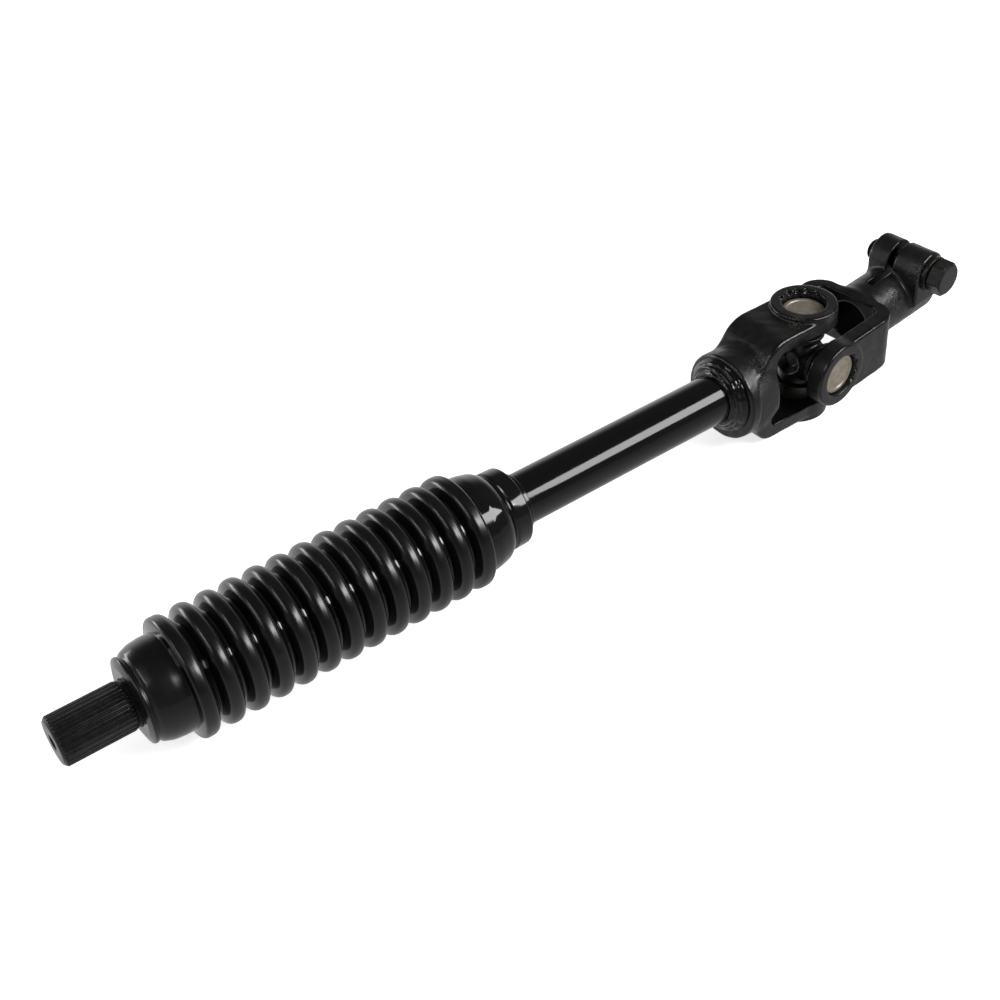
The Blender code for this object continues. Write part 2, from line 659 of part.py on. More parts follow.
def build_clamp_yoke(parts, cutters, parent, paint):
    """Build the clamp yoke: a U of two arms, a bored stem, a slot and two lugs."""
    fork = fillet_outline([
        (0.0, CLAMP_ARM_OUTER, 0.0),
        (0.0, CLAMP_ARM_INNER, 0.0),
        (CLAMP_FLOOR, CLAMP_ARM_INNER, 4 * MM),
        (CLAMP_FLOOR, -CLAMP_ARM_INNER, 4 * MM),
        (0.0, -CLAMP_ARM_INNER, 0.0),
        (0.0, -CLAMP_ARM_OUTER, 0.0),
        (CLAMP_BACK, -CLAMP_ARM_OUTER, CLAMP_CORNER_RADIUS),
        (CLAMP_BACK, CLAMP_ARM_OUTER, CLAMP_CORNER_RADIUS),
    ])
    yoke = plate("clamp_yoke", fork, CLAMP_HALF_HEIGHT, 0.7 * MM, parts, parent,
                 material=paint)
    ear_profile = [
        (CLAMP_EAR_INNER, 0.0),
        (CLAMP_EAR_INNER, CLAMP_EAR_RADIUS - 0.7 * MM),
        (CLAMP_EAR_INNER + 0.7 * MM, CLAMP_EAR_RADIUS),
        (CLAMP_EAR_FACE - 1.0 * MM, CLAMP_EAR_RADIUS),
        (CLAMP_EAR_FACE, CLAMP_EAR_RADIUS - 1.0 * MM),
        (CLAMP_EAR_FACE, 0.0),
    ]
    stem_start = (CLAMP_FLOOR + CLAMP_BACK) / 2
    stem_profile = [
        (stem_start, 0.0),
        (stem_start, STEM_RADIUS + 1.5 * MM),
        (CLAMP_BACK + 0.2 * MM, STEM_RADIUS + 1.5 * MM),
        (CLAMP_BACK + 1.6 * MM, STEM_RADIUS + 0.3 * MM),
        (CLAMP_BACK + 3.0 * MM, STEM_RADIUS),
        (STEM_END - 0.8 * MM, STEM_RADIUS),
        (STEM_END, STEM_RADIUS - 0.8 * MM),
        (STEM_END, 0.0),
    ]
    stem = turned("join_stem", stem_profile, ROUND_STEPS, cutters, parent)
    lug_outline = [(BOLT_STATION - LUG_RADIUS, 0.0), (BOLT_STATION + LUG_RADIUS, 0.0)]
    for n in range(2 * ARC_STEPS + 1):
        angle = math.pi * n / (2 * ARC_STEPS)
        lug_outline.append((BOLT_STATION + LUG_RADIUS * math.cos(angle),
                            BOLT_HEIGHT + LUG_RADIUS * math.sin(angle)))
    lugs = plate("join_lugs", lug_outline, LUG_HALF_WIDTH, 0.8 * MM, cutters, parent,
                 (0, -LUG_SHIFT, 0), "-Y")
    bore = rod("cut_clamp_bore", across_flats(CLAMP_BORE_RADIUS, ROUND_STEPS),
               CLAMP_FLOOR - CUT_OVER, STEM_END + CUT_OVER, ROUND_STEPS, cutters, parent)
    slot_length = STEM_END + CUT_OVER - SLOT_START
    slot_height = BOLT_HEIGHT + LUG_RADIUS
    slot = block("cut_slot", (slot_length, 2 * SLOT_HALF_WIDTH, slot_height), cutters, parent,
                 (SLOT_START + slot_length / 2, -SLOT_SHIFT,
                  CLAMP_BORE_RADIUS / 2 + slot_height / 2))
    bolt_hole = rod("cut_bolt_hole", across_flats(BOLT_RADIUS + SEAT_GAP, SMALL_STEPS),
                    -LUG_HALF_WIDTH - CUT_OVER, LUG_HALF_WIDTH + CUT_OVER, SMALL_STEPS, cutters,
                    parent, (BOLT_STATION, -LUG_SHIFT, BOLT_HEIGHT), "Y")
    ear_bore = rod("cut_clamp_ear_bores", across_flats(CUP_RADIUS + SEAT_GAP, SMALL_STEPS),
                   -CLAMP_EAR_FACE - CUT_OVER, CLAMP_EAR_FACE + CUT_OVER, SMALL_STEPS,
                   cutters, parent, axis="Y")
    for axis, name in (("-Y", "join_near_ear"), ("Y", "join_far_ear")):
        ear = turned(name, ear_profile, SMALL_STEPS, cutters, parent, axis=axis)
        boolean(yoke, as_cutter(ear), "UNION")
    boolean(yoke, as_cutter(stem), "UNION")
    boolean(yoke, as_cutter(lugs), "UNION")
    for tool in (bore, slot, bolt_hole, ear_bore):
        boolean(yoke, as_cutter(tool), "DIFFERENCE")
    return yoke


def build_pinch_bolt(parts, cutters, parent, bolt_steel, washer_steel):
    """Build the hex bolt and the split washer, on an axis that runs across the stem."""
    spot = (BOLT_STATION, -LUG_SHIFT, BOLT_HEIGHT)
    washer_face = LUG_HALF_WIDTH + SEAT_GAP
    seat = washer_face + WASHER_THICKNESS + SEAT_GAP
    head_start = seat + HEAD_SEAT_HEIGHT
    head_top = seat + HEAD_HEIGHT
    end = -LUG_HALF_WIDTH - BOLT_OVERRUN
    shank_profile = [
        (end, 0.0),
        (end, BOLT_RADIUS - 1.0 * MM),
        (end + 1.0 * MM, BOLT_RADIUS),
        (seat, BOLT_RADIUS),
        (seat, HEAD_SEAT_RADIUS),
        (head_start + 0.5 * MM, HEAD_SEAT_RADIUS),
        (head_start + 0.5 * MM, 0.0),
    ]
    bolt = turned("pinch_bolt", shank_profile, SMALL_STEPS, parts, parent, spot, "-Y",
                  material=bolt_steel)
    corner = across_flats(HEAD_FLATS / 2, 6)
    mesh = bpy.data.meshes.new("join_hex_head")
    shape = bmesh.new()
    middle = Matrix.Translation((0, 0, (head_start + head_top) / 2))
    bmesh.ops.create_cone(shape, cap_ends=True, segments=6, radius1=corner, radius2=corner,
                          depth=head_top - head_start, matrix=middle)
    shape.to_mesh(mesh)
    shape.free()
    head = place("join_hex_head", mesh, cutters, parent, spot, "-Y")
    crown_profile = [
        (head_start - CUT_OVER, 0.0),
        (head_start - CUT_OVER, corner + 0.2 * MM),
        (head_top - 1.0 * MM, corner + 0.2 * MM),
        (head_top + 0.1 * MM, HEAD_FLATS / 2 - 0.4 * MM),
        (head_top + 0.1 * MM, 0.0),
    ]
    crown = turned("keep_head_crown", crown_profile, SMALL_STEPS, cutters, parent, spot, "-Y")
    boolean(head, as_cutter(crown), "INTERSECT")
    boolean(bolt, as_cutter(head), "UNION")
    hole = across_flats(BOLT_RADIUS + SEAT_GAP, SMALL_STEPS)
    washer_profile = [
        (washer_face, hole),
        (washer_face, WASHER_RADIUS),
        (washer_face + WASHER_THICKNESS, WASHER_RADIUS),
        (washer_face + WASHER_THICKNESS, hole),
    ]
    washer = turned("lock_washer", washer_profile, SMALL_STEPS, parts, parent, spot, "-Y",
                    closed=True, material=washer_steel)
    split_middle = (BOLT_STATION, -LUG_SHIFT - washer_face - WASHER_THICKNESS / 2,
                    BOLT_HEIGHT - WASHER_RADIUS)
    split_size = (WASHER_SPLIT, 2 * WASHER_THICKNESS, WASHER_RADIUS)
    split = block("cut_washer_split", split_size, cutters, parent, split_middle)
    boolean(washer, as_cutter(split), "DIFFERENCE")
    return bolt


def smooth_round_faces(parts):
    """Shade every piece smooth and keep its edges over 32 degrees sharp."""
    for item in parts.objects:
        if item.type == "MESH":
            item.data.shade_smooth()
            item.data.set_sharp_from_angle(angle=math.radians(32))


def stand_on_ground(root, parts):
    """Move the root so that the origin is under the middle of the finished part."""
    bpy.context.view_layer.update()
    graph = bpy.context.evaluated_depsgraph_get()
    corners = []
    for item in parts.objects:
        if item.type != "MESH":
            continue
        shown = item.evaluated_get(graph)
        mesh = shown.to_mesh()
        corners += [item.matrix_world @ vertex.co for vertex in mesh.vertices]
        shown.to_mesh_clear()
    middle = (min(point.x for point in corners) + max(point.x for point in corners)) / 2
    ground = min(point.z for point in corners)
    root.location = (-middle, 0.0, -ground)


def main():
    """Model the shaft and stand it on its origin."""
    for item in list(bpy.data.objects):
        bpy.data.objects.remove(item)
    parts = new_collection("intermediate_steering_shaft")
    cutters = new_collection("cutters")

    black_paint = make_material("black_paint", (0.018, 0.018, 0.02), 0.42, 0.0)
    gloss_paint = make_material("gloss_black_paint", (0.012, 0.012, 0.013), 0.2, 0.0)
    rubber = make_material("black_rubber", (0.014, 0.014, 0.015), 0.3, 0.0)
    seal_rubber = make_material("seal_rubber", (0.03, 0.03, 0.032), 0.45, 0.0)
    bright_steel = make_material("bright_steel", (0.55, 0.53, 0.50), 0.35, 1.0)
    dark_steel = make_material("dark_steel", (0.05, 0.05, 0.052), 0.4, 0.7)

    root = make_empty("shaft_root", parts)
    slide = make_empty("telescope_axis", parts, root)
    joint = make_empty("joint_centre", parts, root, (JOINT_STATION, 0, 0))
    spider_axis = make_empty("ear_pin_axis", parts, joint, rotation=(0, 0, REST_YAW))
    clamp_axis = make_empty("clamp_pin_axis", parts, spider_axis, rotation=(0, -REST_RISE, 0))

    build_splined_shaft(parts, cutters, slide, dark_steel)
    turned("boot", boot_profile(), BOOT_STEPS, parts, root, closed=True, material=rubber)
    build_tube(parts, cutters, root, gloss_paint)
    build_weld(parts, root, gloss_paint)
    build_tube_yoke(parts, cutters, joint, black_paint)
    build_spider(parts, cutters, spider_axis, dark_steel)
    build_bearing("top", "Z", parts, cutters, joint, bright_steel, seal_rubber)
    build_bearing("bottom", "-Z", parts, cutters, joint, bright_steel, seal_rubber)
    build_bearing("near", "-Y", parts, cutters, clamp_axis, bright_steel, seal_rubber)
    build_bearing("far", "Y", parts, cutters, clamp_axis, bright_steel, seal_rubber)
    build_clamp_yoke(parts, cutters, clamp_axis, black_paint)
    build_pinch_bolt(parts, cutters, clamp_axis, dark_steel, dark_steel)

    smooth_round_faces(parts)
    stand_on_ground(root, parts)


main()
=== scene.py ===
"""Looks of the intermediate steering shaft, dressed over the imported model.

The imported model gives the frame: where the shaft's axis runs, where the joint's centre lies and
which body each piece moves with.  Each class below makes one sub-assembly in its own local
millimetres and lays it into that frame.
"""

from __future__ import annotations

import logging
import math
from dataclasses import dataclass
from enum import Enum
from typing import Any, Callable, Iterable, Sequence

import bmesh
import bpy
import numpy as np
from mathutils import Matrix, Vector


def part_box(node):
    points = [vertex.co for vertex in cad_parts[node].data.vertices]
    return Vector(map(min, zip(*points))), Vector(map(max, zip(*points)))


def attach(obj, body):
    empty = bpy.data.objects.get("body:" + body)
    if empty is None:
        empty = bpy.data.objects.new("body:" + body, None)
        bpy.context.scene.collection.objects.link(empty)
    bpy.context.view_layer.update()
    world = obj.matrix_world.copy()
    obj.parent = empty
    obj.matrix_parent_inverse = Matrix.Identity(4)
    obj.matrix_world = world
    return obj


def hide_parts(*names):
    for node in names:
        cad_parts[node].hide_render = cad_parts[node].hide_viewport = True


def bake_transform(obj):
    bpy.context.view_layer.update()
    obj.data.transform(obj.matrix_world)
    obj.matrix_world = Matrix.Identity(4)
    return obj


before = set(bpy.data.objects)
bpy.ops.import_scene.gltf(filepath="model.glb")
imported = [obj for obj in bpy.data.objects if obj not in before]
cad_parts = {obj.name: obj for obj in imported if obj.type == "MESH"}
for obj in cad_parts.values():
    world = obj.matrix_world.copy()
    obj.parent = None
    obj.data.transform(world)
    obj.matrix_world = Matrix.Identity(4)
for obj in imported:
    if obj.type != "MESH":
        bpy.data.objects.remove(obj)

MM = 0.001
FULL_TURN = 2 * math.pi
LONGEST_ROUNDING = 0.49  # share of a side that a rounded corner may take
EDGE_REACH = 0.25  # how far round a point its edge is measured, in millimetres
EDGE_FROM = 0.22  # bend at which an edge starts to show
EDGE_SPAN = 0.45  # bend from there to a full edge
GAP_REACH = 3.2  # width of a gap whose walls get painted shade, in millimetres
SLOPE_REACH = 0.02  # step that a slope is measured over, in millimetres
WEAR_FADE = 2.2  # how steeply wear fades at the rim of its spot
WHITE = (1.0, 1.0, 1.0, 1.0)
LOG = logging.getLogger("steering_shaft")

BOLT_STATION = 71.0  # pinch bolt's place from the joint's centre, in millimetres
BOLT_HEIGHT = 15.2
REST_YAW = 4.1  # turn of the cross at rest, in degrees
REST_RISE = 3.0  # turn of the clamp end at rest, in degrees

Array = np.ndarray
Item = bpy.types.Object
Mesh = bpy.types.Mesh
Socket = bpy.types.NodeSocket
Pair = tuple[float, float]
Triple = tuple[float, float, float]
Corner = Triple
Colour = Triple
Spot = tuple[float, float, float, float]
Distance = Callable[[Array, Array, Array], Array]


class Body(Enum):
    """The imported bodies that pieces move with."""

    UPPER = "upper_shaft"
    LOWER = "lower_shaft"
    CROSS = "cross"
    CLAMP = "clamp_end"


class Slot(Enum):
    """The record's material slots."""

    PAINT = "black_paint"
    GLOSS = "gloss_black_paint"
    RUBBER = "black_rubber"
    SEAL = "seal_rubber"
    BRIGHT = "bright_steel"
    DARK = "dark_steel"


class Along(Enum):
    """A local axis that a turned piece may lie along, as rows of its own three axes."""

    X = ((1, 0, 0), (0, 1, 0), (0, 0, 1))
    UP = ((0, 0, 1), (1, 0, 0), (0, 1, 0))
    DOWN = ((0, 0, -1), (-1, 0, 0), (0, 1, 0))
    FAR = ((0, 1, 0), (0, 0, 1), (1, 0, 0))
    NEAR = ((0, -1, 0), (0, 0, -1), (1, 0, 0))


@dataclass(frozen=True)
class Placement:
    """Where a sub-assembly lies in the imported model: an origin in metres and three axes."""

    origin: Triple
    axes: tuple[Triple, ...] = Along.X.value

    def lay(self, points: Array) -> Array:
        """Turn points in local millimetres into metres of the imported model.

        Args:
            points: Array of points, one row each.

        Returns:
            The same points in metres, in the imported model's frame.
        """
        return np.asarray(points, float) * MM @ np.array(self.axes) + np.array(self.origin)

    def facing(self, along: Along, shift: Sequence[float] = (0.0, 0.0, 0.0)) -> Placement:
        """Point the local X axis along another of the local axes.

        Args:
            along: The axis that the new X lies along.
            shift: Where the new origin lies, in local millimetres.

        Returns:
            The new placement.
        """
        origin = self.lay(np.array([shift]))[0]
        axes = np.array(along.value, float) @ np.array(self.axes)
        return Placement(tuple(origin), tuple(map(tuple, axes)))


LOCAL = Placement((0.0, 0.0, 0.0))


@dataclass(frozen=True)
class Layout:
    """The placements that every sub-assembly starts from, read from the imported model."""

    shaft: Placement
    joint: Placement
    cross: Placement
    clamp: Placement

    @staticmethod
    def from_frame(yaw: float, rise: float) -> Layout:
        """Read the shaft's axis and the joint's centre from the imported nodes.

        Args:
            yaw: Turn of the cross about the ear pins at rest, in degrees.
            rise: Turn of the clamp end about its own pins at rest, in degrees.

        Returns:
            The four placements.
        """
        low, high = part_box("spider")
        centre = (low + high) / 2
        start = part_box("splined_shaft")[0].x
        turn = Matrix.Rotation(math.radians(yaw), 3, "Z")
        tilt = turn @ Matrix.Rotation(-math.radians(rise), 3, "Y")
        return Layout(
            shaft=Placement((start, 0.0, centre.z)),
            joint=Placement(tuple(centre)),
            cross=Placement(tuple(centre), tuple(map(tuple, turn.transposed()))),
            clamp=Placement(tuple(centre), tuple(map(tuple, tilt.transposed()))),
        )


# Outlines and distances


def soften(corners: Sequence[Corner], closed: bool = False, stride: float = 10.0) -> Array:
    """Round the corners of an outline.

    Args:
        corners: The corners as (along, across, radius).
        closed: Whether the last corner joins the first.
        stride: Degrees of arc between two points.

    Returns:
        The points of the outline, one row each.
    """
    points: list[Pair] = []
    count = len(corners)
    for k, (x, y, radius) in enumerate(corners):
        end = not closed and k in (0, count - 1)
        here = Vector((x, y))
        if radius <= 0.0 or end:
            points.append((x, y))
            continue
        before = Vector(corners[k - 1][:2]) - here
        after = Vector(corners[(k + 1) % count][:2]) - here
        half = before.angle(after) / 2
        longest = LONGEST_ROUNDING * min(before.length, after.length)
        reach = min(radius / math.tan(half), longest)
        radius = reach * math.tan(half)
        before.normalize()
        after.normalize()
        centre = here + (before + after).normalized() * (radius / math.sin(half))
        first = here + before * reach - centre
        sweep = first.angle_signed(here + after * reach - centre)
        steps = max(2, math.ceil(abs(math.degrees(sweep)) / stride))
        for n in range(steps + 1):
            spot = centre + Matrix.Rotation(-sweep * n / steps, 2) @ first
            points.append((spot.x, spot.y))
    return np.array(points)


def outline_distance(x: Array, y: Array, corners: Array) -> Array:
    """Measure the signed distance to a closed outline, below zero inside it.

    Args:
        x: First coordinates.
        y: Second coordinates, which may have another shape that broadcasts with x.
        corners: The outline's points, one row each.

    Returns:
        The distances.
    """
    shape = np.broadcast_shapes(np.shape(x), np.shape(y))
    nearest = np.full(shape, np.inf)
    odd = np.zeros(shape, bool)
    for (ax, ay), (bx, by) in zip(corners, np.roll(corners, -1, axis=0)):
        ex, ey = bx - ax, by - ay
        size = ex * ex + ey * ey
        if size < 1e-12:
            continue
        wx, wy = x - ax, y - ay
        share = np.clip((wx * ex + wy * ey) / size, 0.0, 1.0)
        nearest = np.minimum(nearest, (wx - ex * share) ** 2 + (wy - ey * share) ** 2)
        left = ex * wy > ey * wx
        starts, ends = y >= ay, y < by
        odd ^= (starts & ends & left) | (~starts & ~ends & ~left)
    return np.where(odd, -1.0, 1.0) * np.sqrt(nearest)


def joined(a: Array, b: Array, fillet: float) -> Array:
    """Join two solids' distances with a fillet of the given radius between them."""
    corner = np.hypot(np.maximum(fillet - a, 0.0), np.maximum(fillet - b, 0.0))
    return np.maximum(fillet, np.minimum(a, b)) - corner


def shared(a: Array, b: Array, edge: float) -> Array:
    """Keep what two solids share, with its edges rounded to the given radius."""
    corner = np.hypot(np.maximum(edge + a, 0.0), np.maximum(edge + b, 0.0))
    return np.minimum(-edge, np.maximum(a, b)) + corner


def cut(a: Array, b: Array, edge: float) -> Array:
    """Take solid b out of solid a, with the new edges rounded to the given radius."""
    return shared(a, -b, edge)


def ball(x: Array, y: Array, z: Array, spot: Spot) -> Array:
    """Measure the distance to a ball given as (x, y, z, radius)."""
    return np.sqrt((x - spot[0]) ** 2 + (y - spot[1]) ** 2 + (z - spot[2]) ** 2) - spot[3]


def spot_at(circle: float, angle: float, radius: float) -> Spot:
    """Return a ball whose centre lies on a circle round the origin."""
    return circle * math.cos(angle), circle * math.sin(angle), 0.0, radius


def forged_waves(x: Array, y: Array, z: Array, depth: float) -> Array:
    """Return shallow waves of a forged skin.

    Args:
        x: First coordinates.
        y: Second coordinates.
        z: Third coordinates.
        depth: How far apart the lowest and the highest place lie, about.

    Returns:
        What to add to a distance.
    """
    waves = (np.sin(0.61 * x + 0.33 * y + 0.2) * np.sin(0.52 * y - 0.27 * z + 1.1)
             + np.sin(0.47 * z + 0.38 * x + 2.3) * np.sin(0.71 * y + 0.31 * x)
             + 0.6 * np.sin(1.3 * x - 0.9 * z + 0.7) * np.sin(1.1 * y + 1.2 * z + 0.4))
    return depth * (0.3 + waves / 5.2)


# Meshes


def linked(name: str, data: Any) -> Item:
    """Put a mesh, camera or light into the scene as an object at the origin.

    Args:
        name: The object's name.
        data: The mesh, camera or light.

    Returns:
        The object.
    """
    item = bpy.data.objects.new(name, data)
    bpy.context.scene.collection.objects.link(item)
    return item


def mesh_of(shape: bmesh.types.BMesh, name: str) -> Mesh:
    """Turn a shape that is no longer needed into a mesh.

    Args:
        shape: The shape, which is freed.
        name: The mesh's name.

    Returns:
        The mesh.
    """
    mesh = bpy.data.meshes.new(name)
    shape.to_mesh(mesh)
    shape.free()
    return mesh


def new_object(name: str, mesh: Mesh, sharp: float | None = None) -> Item:
    """Link a mesh as an object at the origin, shaded smooth.

    Args:
        name: The object's name.
        mesh: Its mesh, with its place in its vertices.
        sharp: Angle in degrees above which an edge stays sharp.

    Returns:
        The object.
    """
    mesh.name = name
    mesh.shade_smooth()
    if sharp is not None:
        mesh.set_sharp_from_angle(angle=math.radians(sharp))
    return linked(name, mesh)


def solid_mesh(points: Array, faces: Iterable[Sequence[int]]) -> Mesh:
    """Make a closed mesh with its faces pointing out.

    Args:
        points: Its vertices in metres.
        faces: Its faces as vertex numbers.

    Returns:
        The mesh.
    """
    mesh = bpy.data.meshes.new("solid")
    mesh.from_pydata(np.asarray(points).tolist(), [], list(faces))
    shape = bmesh.new()
    shape.from_mesh(mesh)
    bmesh.ops.remove_doubles(shape, verts=shape.verts, dist=1e-7)
    bmesh.ops.recalc_face_normals(shape, faces=shape.faces)
    shape.to_mesh(mesh)
    shape.free()
    return mesh


def ring_faces(rows: int, columns: int, loop: bool) -> list[tuple[int, ...]]:
    """Return the faces of rows of points that close round each row.

    Args:
        rows: How many rows there are.
        columns: How many points each row has.
        loop: Whether the last row joins the first, or both ends are closed by one face.

    Returns:
        The faces.
    """
    faces: list[tuple[int, ...]] = []
    for r in range(rows if loop else rows - 1):
        low, high = r * columns, (r + 1) % rows * columns
        for c in range(columns):
            nxt = (c + 1) % columns
            faces.append((low + c, low + nxt, high + nxt, high + c))
    if not loop:
        faces.append(tuple(range(columns)))
        faces.append(tuple((rows - 1) * columns + c for c in range(columns)))
    return faces


def turned(name: str, profile: Array, steps: int, placement: Placement, loop: bool = False,
           sharp: float | None = None, shape: Callable[..., Array] | None = None) -> Item:
    """Turn a profile round the placement's X axis.

    Args:
        name: The object's name.
        profile: Rows of (station, radius) in millimetres.
        steps: How many points go round.
        placement: Where the piece lies.
        loop: Whether the profile closes on itself, as a hollow piece's does.
        sharp: Angle in degrees above which an edge stays sharp.
        shape: Gives each point's radius from its station, radius and angle.

    Returns:
        The object.
    """
    angles = np.linspace(0.0, FULL_TURN, steps, endpoint=False)[None, :]
    station = np.repeat(profile[:, :1], steps, axis=1)
    radius = np.repeat(np.maximum(profile[:, 1:2], 0.001), steps, axis=1)
    if shape is not None:
        radius = shape(station, radius, np.broadcast_to(angles, radius.shape))
    points = np.stack([station, radius * np.cos(angles), radius * np.sin(angles)], axis=-1)
    faces = ring_faces(len(profile), steps, loop)
    mesh = solid_mesh(placement.lay(points.reshape(-1, 3)), faces)
    return new_object(name, mesh, sharp)


def net_over(values: Array, low: Array, step: float) -> tuple[Array, Array]:
    """Draw the surface where a grid of distances passes zero.

    Args:
        values: Distances on a regular grid.
        low: The grid's first point.
        step: The grid's spacing.

    Returns:
        The surface's points and its four-sided faces, which point out.
    """
    inside = values < 0
    offsets = np.array([(i, j, k) for i in (0, 1) for j in (0, 1) for k in (0, 1)])
    size = np.array(values.shape) - 1
    filled = sum(inside[i:size[0] + i, j:size[1] + j, k:size[2] + k].astype(np.int8)
                 for i, j, k in offsets)
    crossed = (filled > 0) & (filled < 8)
    cells = np.argwhere(crossed)
    number = np.full(crossed.shape, -1, np.int64)
    number[crossed] = np.arange(len(cells))
    corners = np.stack([values[tuple((cells + o).T)] for o in offsets], axis=1)
    total = np.zeros((len(cells), 3))
    hits = np.zeros(len(cells))
    for a in range(8):
        for b in range(a + 1, 8):
            if np.abs(offsets[a] - offsets[b]).sum() != 1:
                continue
            va, vb = corners[:, a], corners[:, b]
            passes = (va < 0) != (vb < 0)
            share = np.where(passes, va / np.where(passes, va - vb, 1.0), 0.0)
            total += (offsets[a] + share[:, None] * (offsets[b] - offsets[a])) * passes[:, None]
            hits += passes
    points = low + (cells + total / hits[:, None]) * step
    quads = []
    for axis in range(3):
        u, v = (axis + 1) % 3, (axis + 2) % 3
        first = np.take(inside, range(size[axis]), axis=axis)
        second = np.take(inside, range(1, size[axis] + 1), axis=axis)
        where = np.argwhere(first != second)
        fits = (where[:, u] > 0) & (where[:, v] > 0)
        where = where[fits & (where[:, u] < size[u]) & (where[:, v] < size[v])]
        du, dv = np.eye(3, dtype=int)[u], np.eye(3, dtype=int)[v]
        quad = np.stack([number[tuple((where - s).T)] for s in (du + dv, dv, 0 * du, du)], axis=1)
        outward = first[tuple(where.T)]
        quad[~outward] = quad[~outward][:, ::-1]
        quads.append(quad)
    return points, np.concatenate(quads)


def carved(name: str, distance: Distance, low: Sequence[float], high: Sequence[float],
           step: float, placement: Placement) -> Item:
    """Make a solid from its distance function, with its edges marked and its narrow gaps marked
    for painted shade.

    Args:
        name: The object's name.
        distance: Signed distance in local millimetres, below zero inside.
        low: Lowest corner of the space that holds the solid.
        high: Highest corner.
        step: Size of a face.
        placement: Where the solid lies.

    Returns:
        The object.
    """
    axes = [np.arange(a - 1.37 * step, b + 2 * step, step) for a, b in zip(low, high)]
    x, y, z = np.meshgrid(*axes, indexing="ij", sparse=True)
    values = np.broadcast_to(distance(x, y, z), tuple(len(a) for a in axes))
    points, quads = net_over(values, np.array([a[0] for a in axes]), step)
    for _ in range(3):
        here = distance(*points.T)
        slope = np.stack([
            distance(*(points + d).T) - distance(*(points - d).T) for d in SLOPE_REACH * np.eye(3)
        ], axis=1) / (2 * SLOPE_REACH)
        size = np.maximum((slope ** 2).sum(axis=1), 0.25)
        move = np.clip(here / size, -step, step)
        points = points - move[:, None] * slope
    # How closely a narrow gap closes in on each point, kept as the mask for painted shade in gaps.
    ahead = points + GAP_REACH * slope / np.sqrt(size)[:, None]
    gap_shade_mask = np.clip(1.0 - distance(*ahead.T) / GAP_REACH, 0.0, 1.0)
    bend = -6.0 * distance(*points.T)
    for way in EDGE_REACH * np.eye(3):
        bend = bend + distance(*(points + way).T) + distance(*(points - way).T)
    edge = np.clip((bend / EDGE_REACH ** 2 - EDGE_FROM) / EDGE_SPAN, 0.0, 1.0)
    mesh = bpy.data.meshes.new(name)
    mesh.vertices.add(len(points))
    mesh.vertices.foreach_set("co", placement.lay(points).ravel())
    mesh.loops.add(quads.size)
    mesh.loops.foreach_set("vertex_index", quads.ravel())
    mesh.polygons.add(len(quads))
    mesh.polygons.foreach_set("loop_start", np.arange(0, quads.size, 4))
    mesh.update(calc_edges=True)
    for label, level in (("edge", edge), ("gap_shade_mask", gap_shade_mask)):
        mesh.attributes.new(label, "FLOAT", "POINT").data.foreach_set("value", level)
    mesh.validate()
    return new_object(name, mesh)


def mark_wear(item: Item, placement: Placement, spots: Sequence[Spot]) -> None:
    """Store how worn or rough each vertex is, from spots given in local millimetres.

    Args:
        item: The object to mark.
        placement: The placement that the spots are given in.
        spots: The rough places as (x, y, z, radius).
    """
    count = len(item.data.vertices)
    points = np.zeros(count * 3)
    item.data.vertices.foreach_get("co", points)
    points = (points.reshape(-1, 3) - np.array(placement.origin)) @ np.array(placement.axes).T / MM
    worn = np.zeros(count)
    for x, y, z, radius in spots:
        near = 1.0 - np.linalg.norm(points - (x, y, z), axis=1) / radius
        worn = np.maximum(worn, np.clip(near * WEAR_FADE, 0.0, 1.0))
    layer = item.data.attributes.new("worn", "FLOAT", "POINT")
    layer.data.foreach_set("value", worn)


# Nodes


class NodeWork:
    """Short calls that add, set and link the nodes of one tree."""

    def __init__(self, tree: bpy.types.NodeTree) -> None:
        """Take the tree to work in."""
        self.tree = tree

    def feed(self, socket: Socket, value: Any) -> None:
        """Fill a node's input.

        Args:
            socket: The input.
            value: Another node's output, which is linked, or a plain value.
        """
        if isinstance(value, Socket):
            self.tree.links.new(value, socket)
        else:
            socket.default_value = value

    def add(self, kind: str, settings: dict[str, Any] | None = None,
            **inputs: Any) -> bpy.types.Node:
        """Add a node.

        Args:
            kind: The node's type.
            settings: Attributes to set on the node.
            **inputs: What each input takes, by its name with underscores for spaces or by its
                place, as n0, n1 and so on.

        Returns:
            The node.
        """
        node = self.tree.nodes.new(kind)
        for key, value in (settings or {}).items():
            setattr(node, key, value)
        for key, value in inputs.items():
            by_place = key[0] == "n" and key[1:].isdigit()
            self.feed(node.inputs[int(key[1:]) if by_place else key.replace("_", " ")], value)
        return node

    def maths(self, operation: str, a: Any, b: Any = 0.0) -> Socket:
        """Return the result of one sum on two values."""
        return self.add("ShaderNodeMath", {"operation": operation}, n0=a, n1=b).outputs[0]

    def vectors(self, operation: str, **inputs: Any) -> Socket:
        """Return the result of one sum on vectors."""
        return self.add("ShaderNodeVectorMath", {"operation": operation}, **inputs).outputs[0]

    def joined_up(self, **parts: Any) -> Socket:
        """Return the vector with the given X, Y and Z."""
        return self.add("ShaderNodeCombineXYZ", **parts).outputs[0]

    def parts(self, vector: Socket) -> tuple[Socket, ...]:
        """Return the X, Y and Z of a vector."""
        return tuple(self.add("ShaderNodeSeparateXYZ", n0=vector).outputs)

    def span(self, value: Any, low: float, high: float, first: Any, last: Any,
             smooth: bool = False) -> Socket:
        """Map a value's span from low to high onto first to last, and hold it there.

        Args:
            value: The value.
            low: Where the span starts.
            high: Where it ends.
            first: The result at its start.
            last: The result at its end.
            smooth: Whether the change eases in and out.

        Returns:
            The result.
        """
        way = "SMOOTHSTEP" if smooth else "LINEAR"
        return self.add("ShaderNodeMapRange", {"interpolation_type": way}, Value=value,
                        From_Min=low, From_Max=high, To_Min=first, To_Max=last).outputs[0]


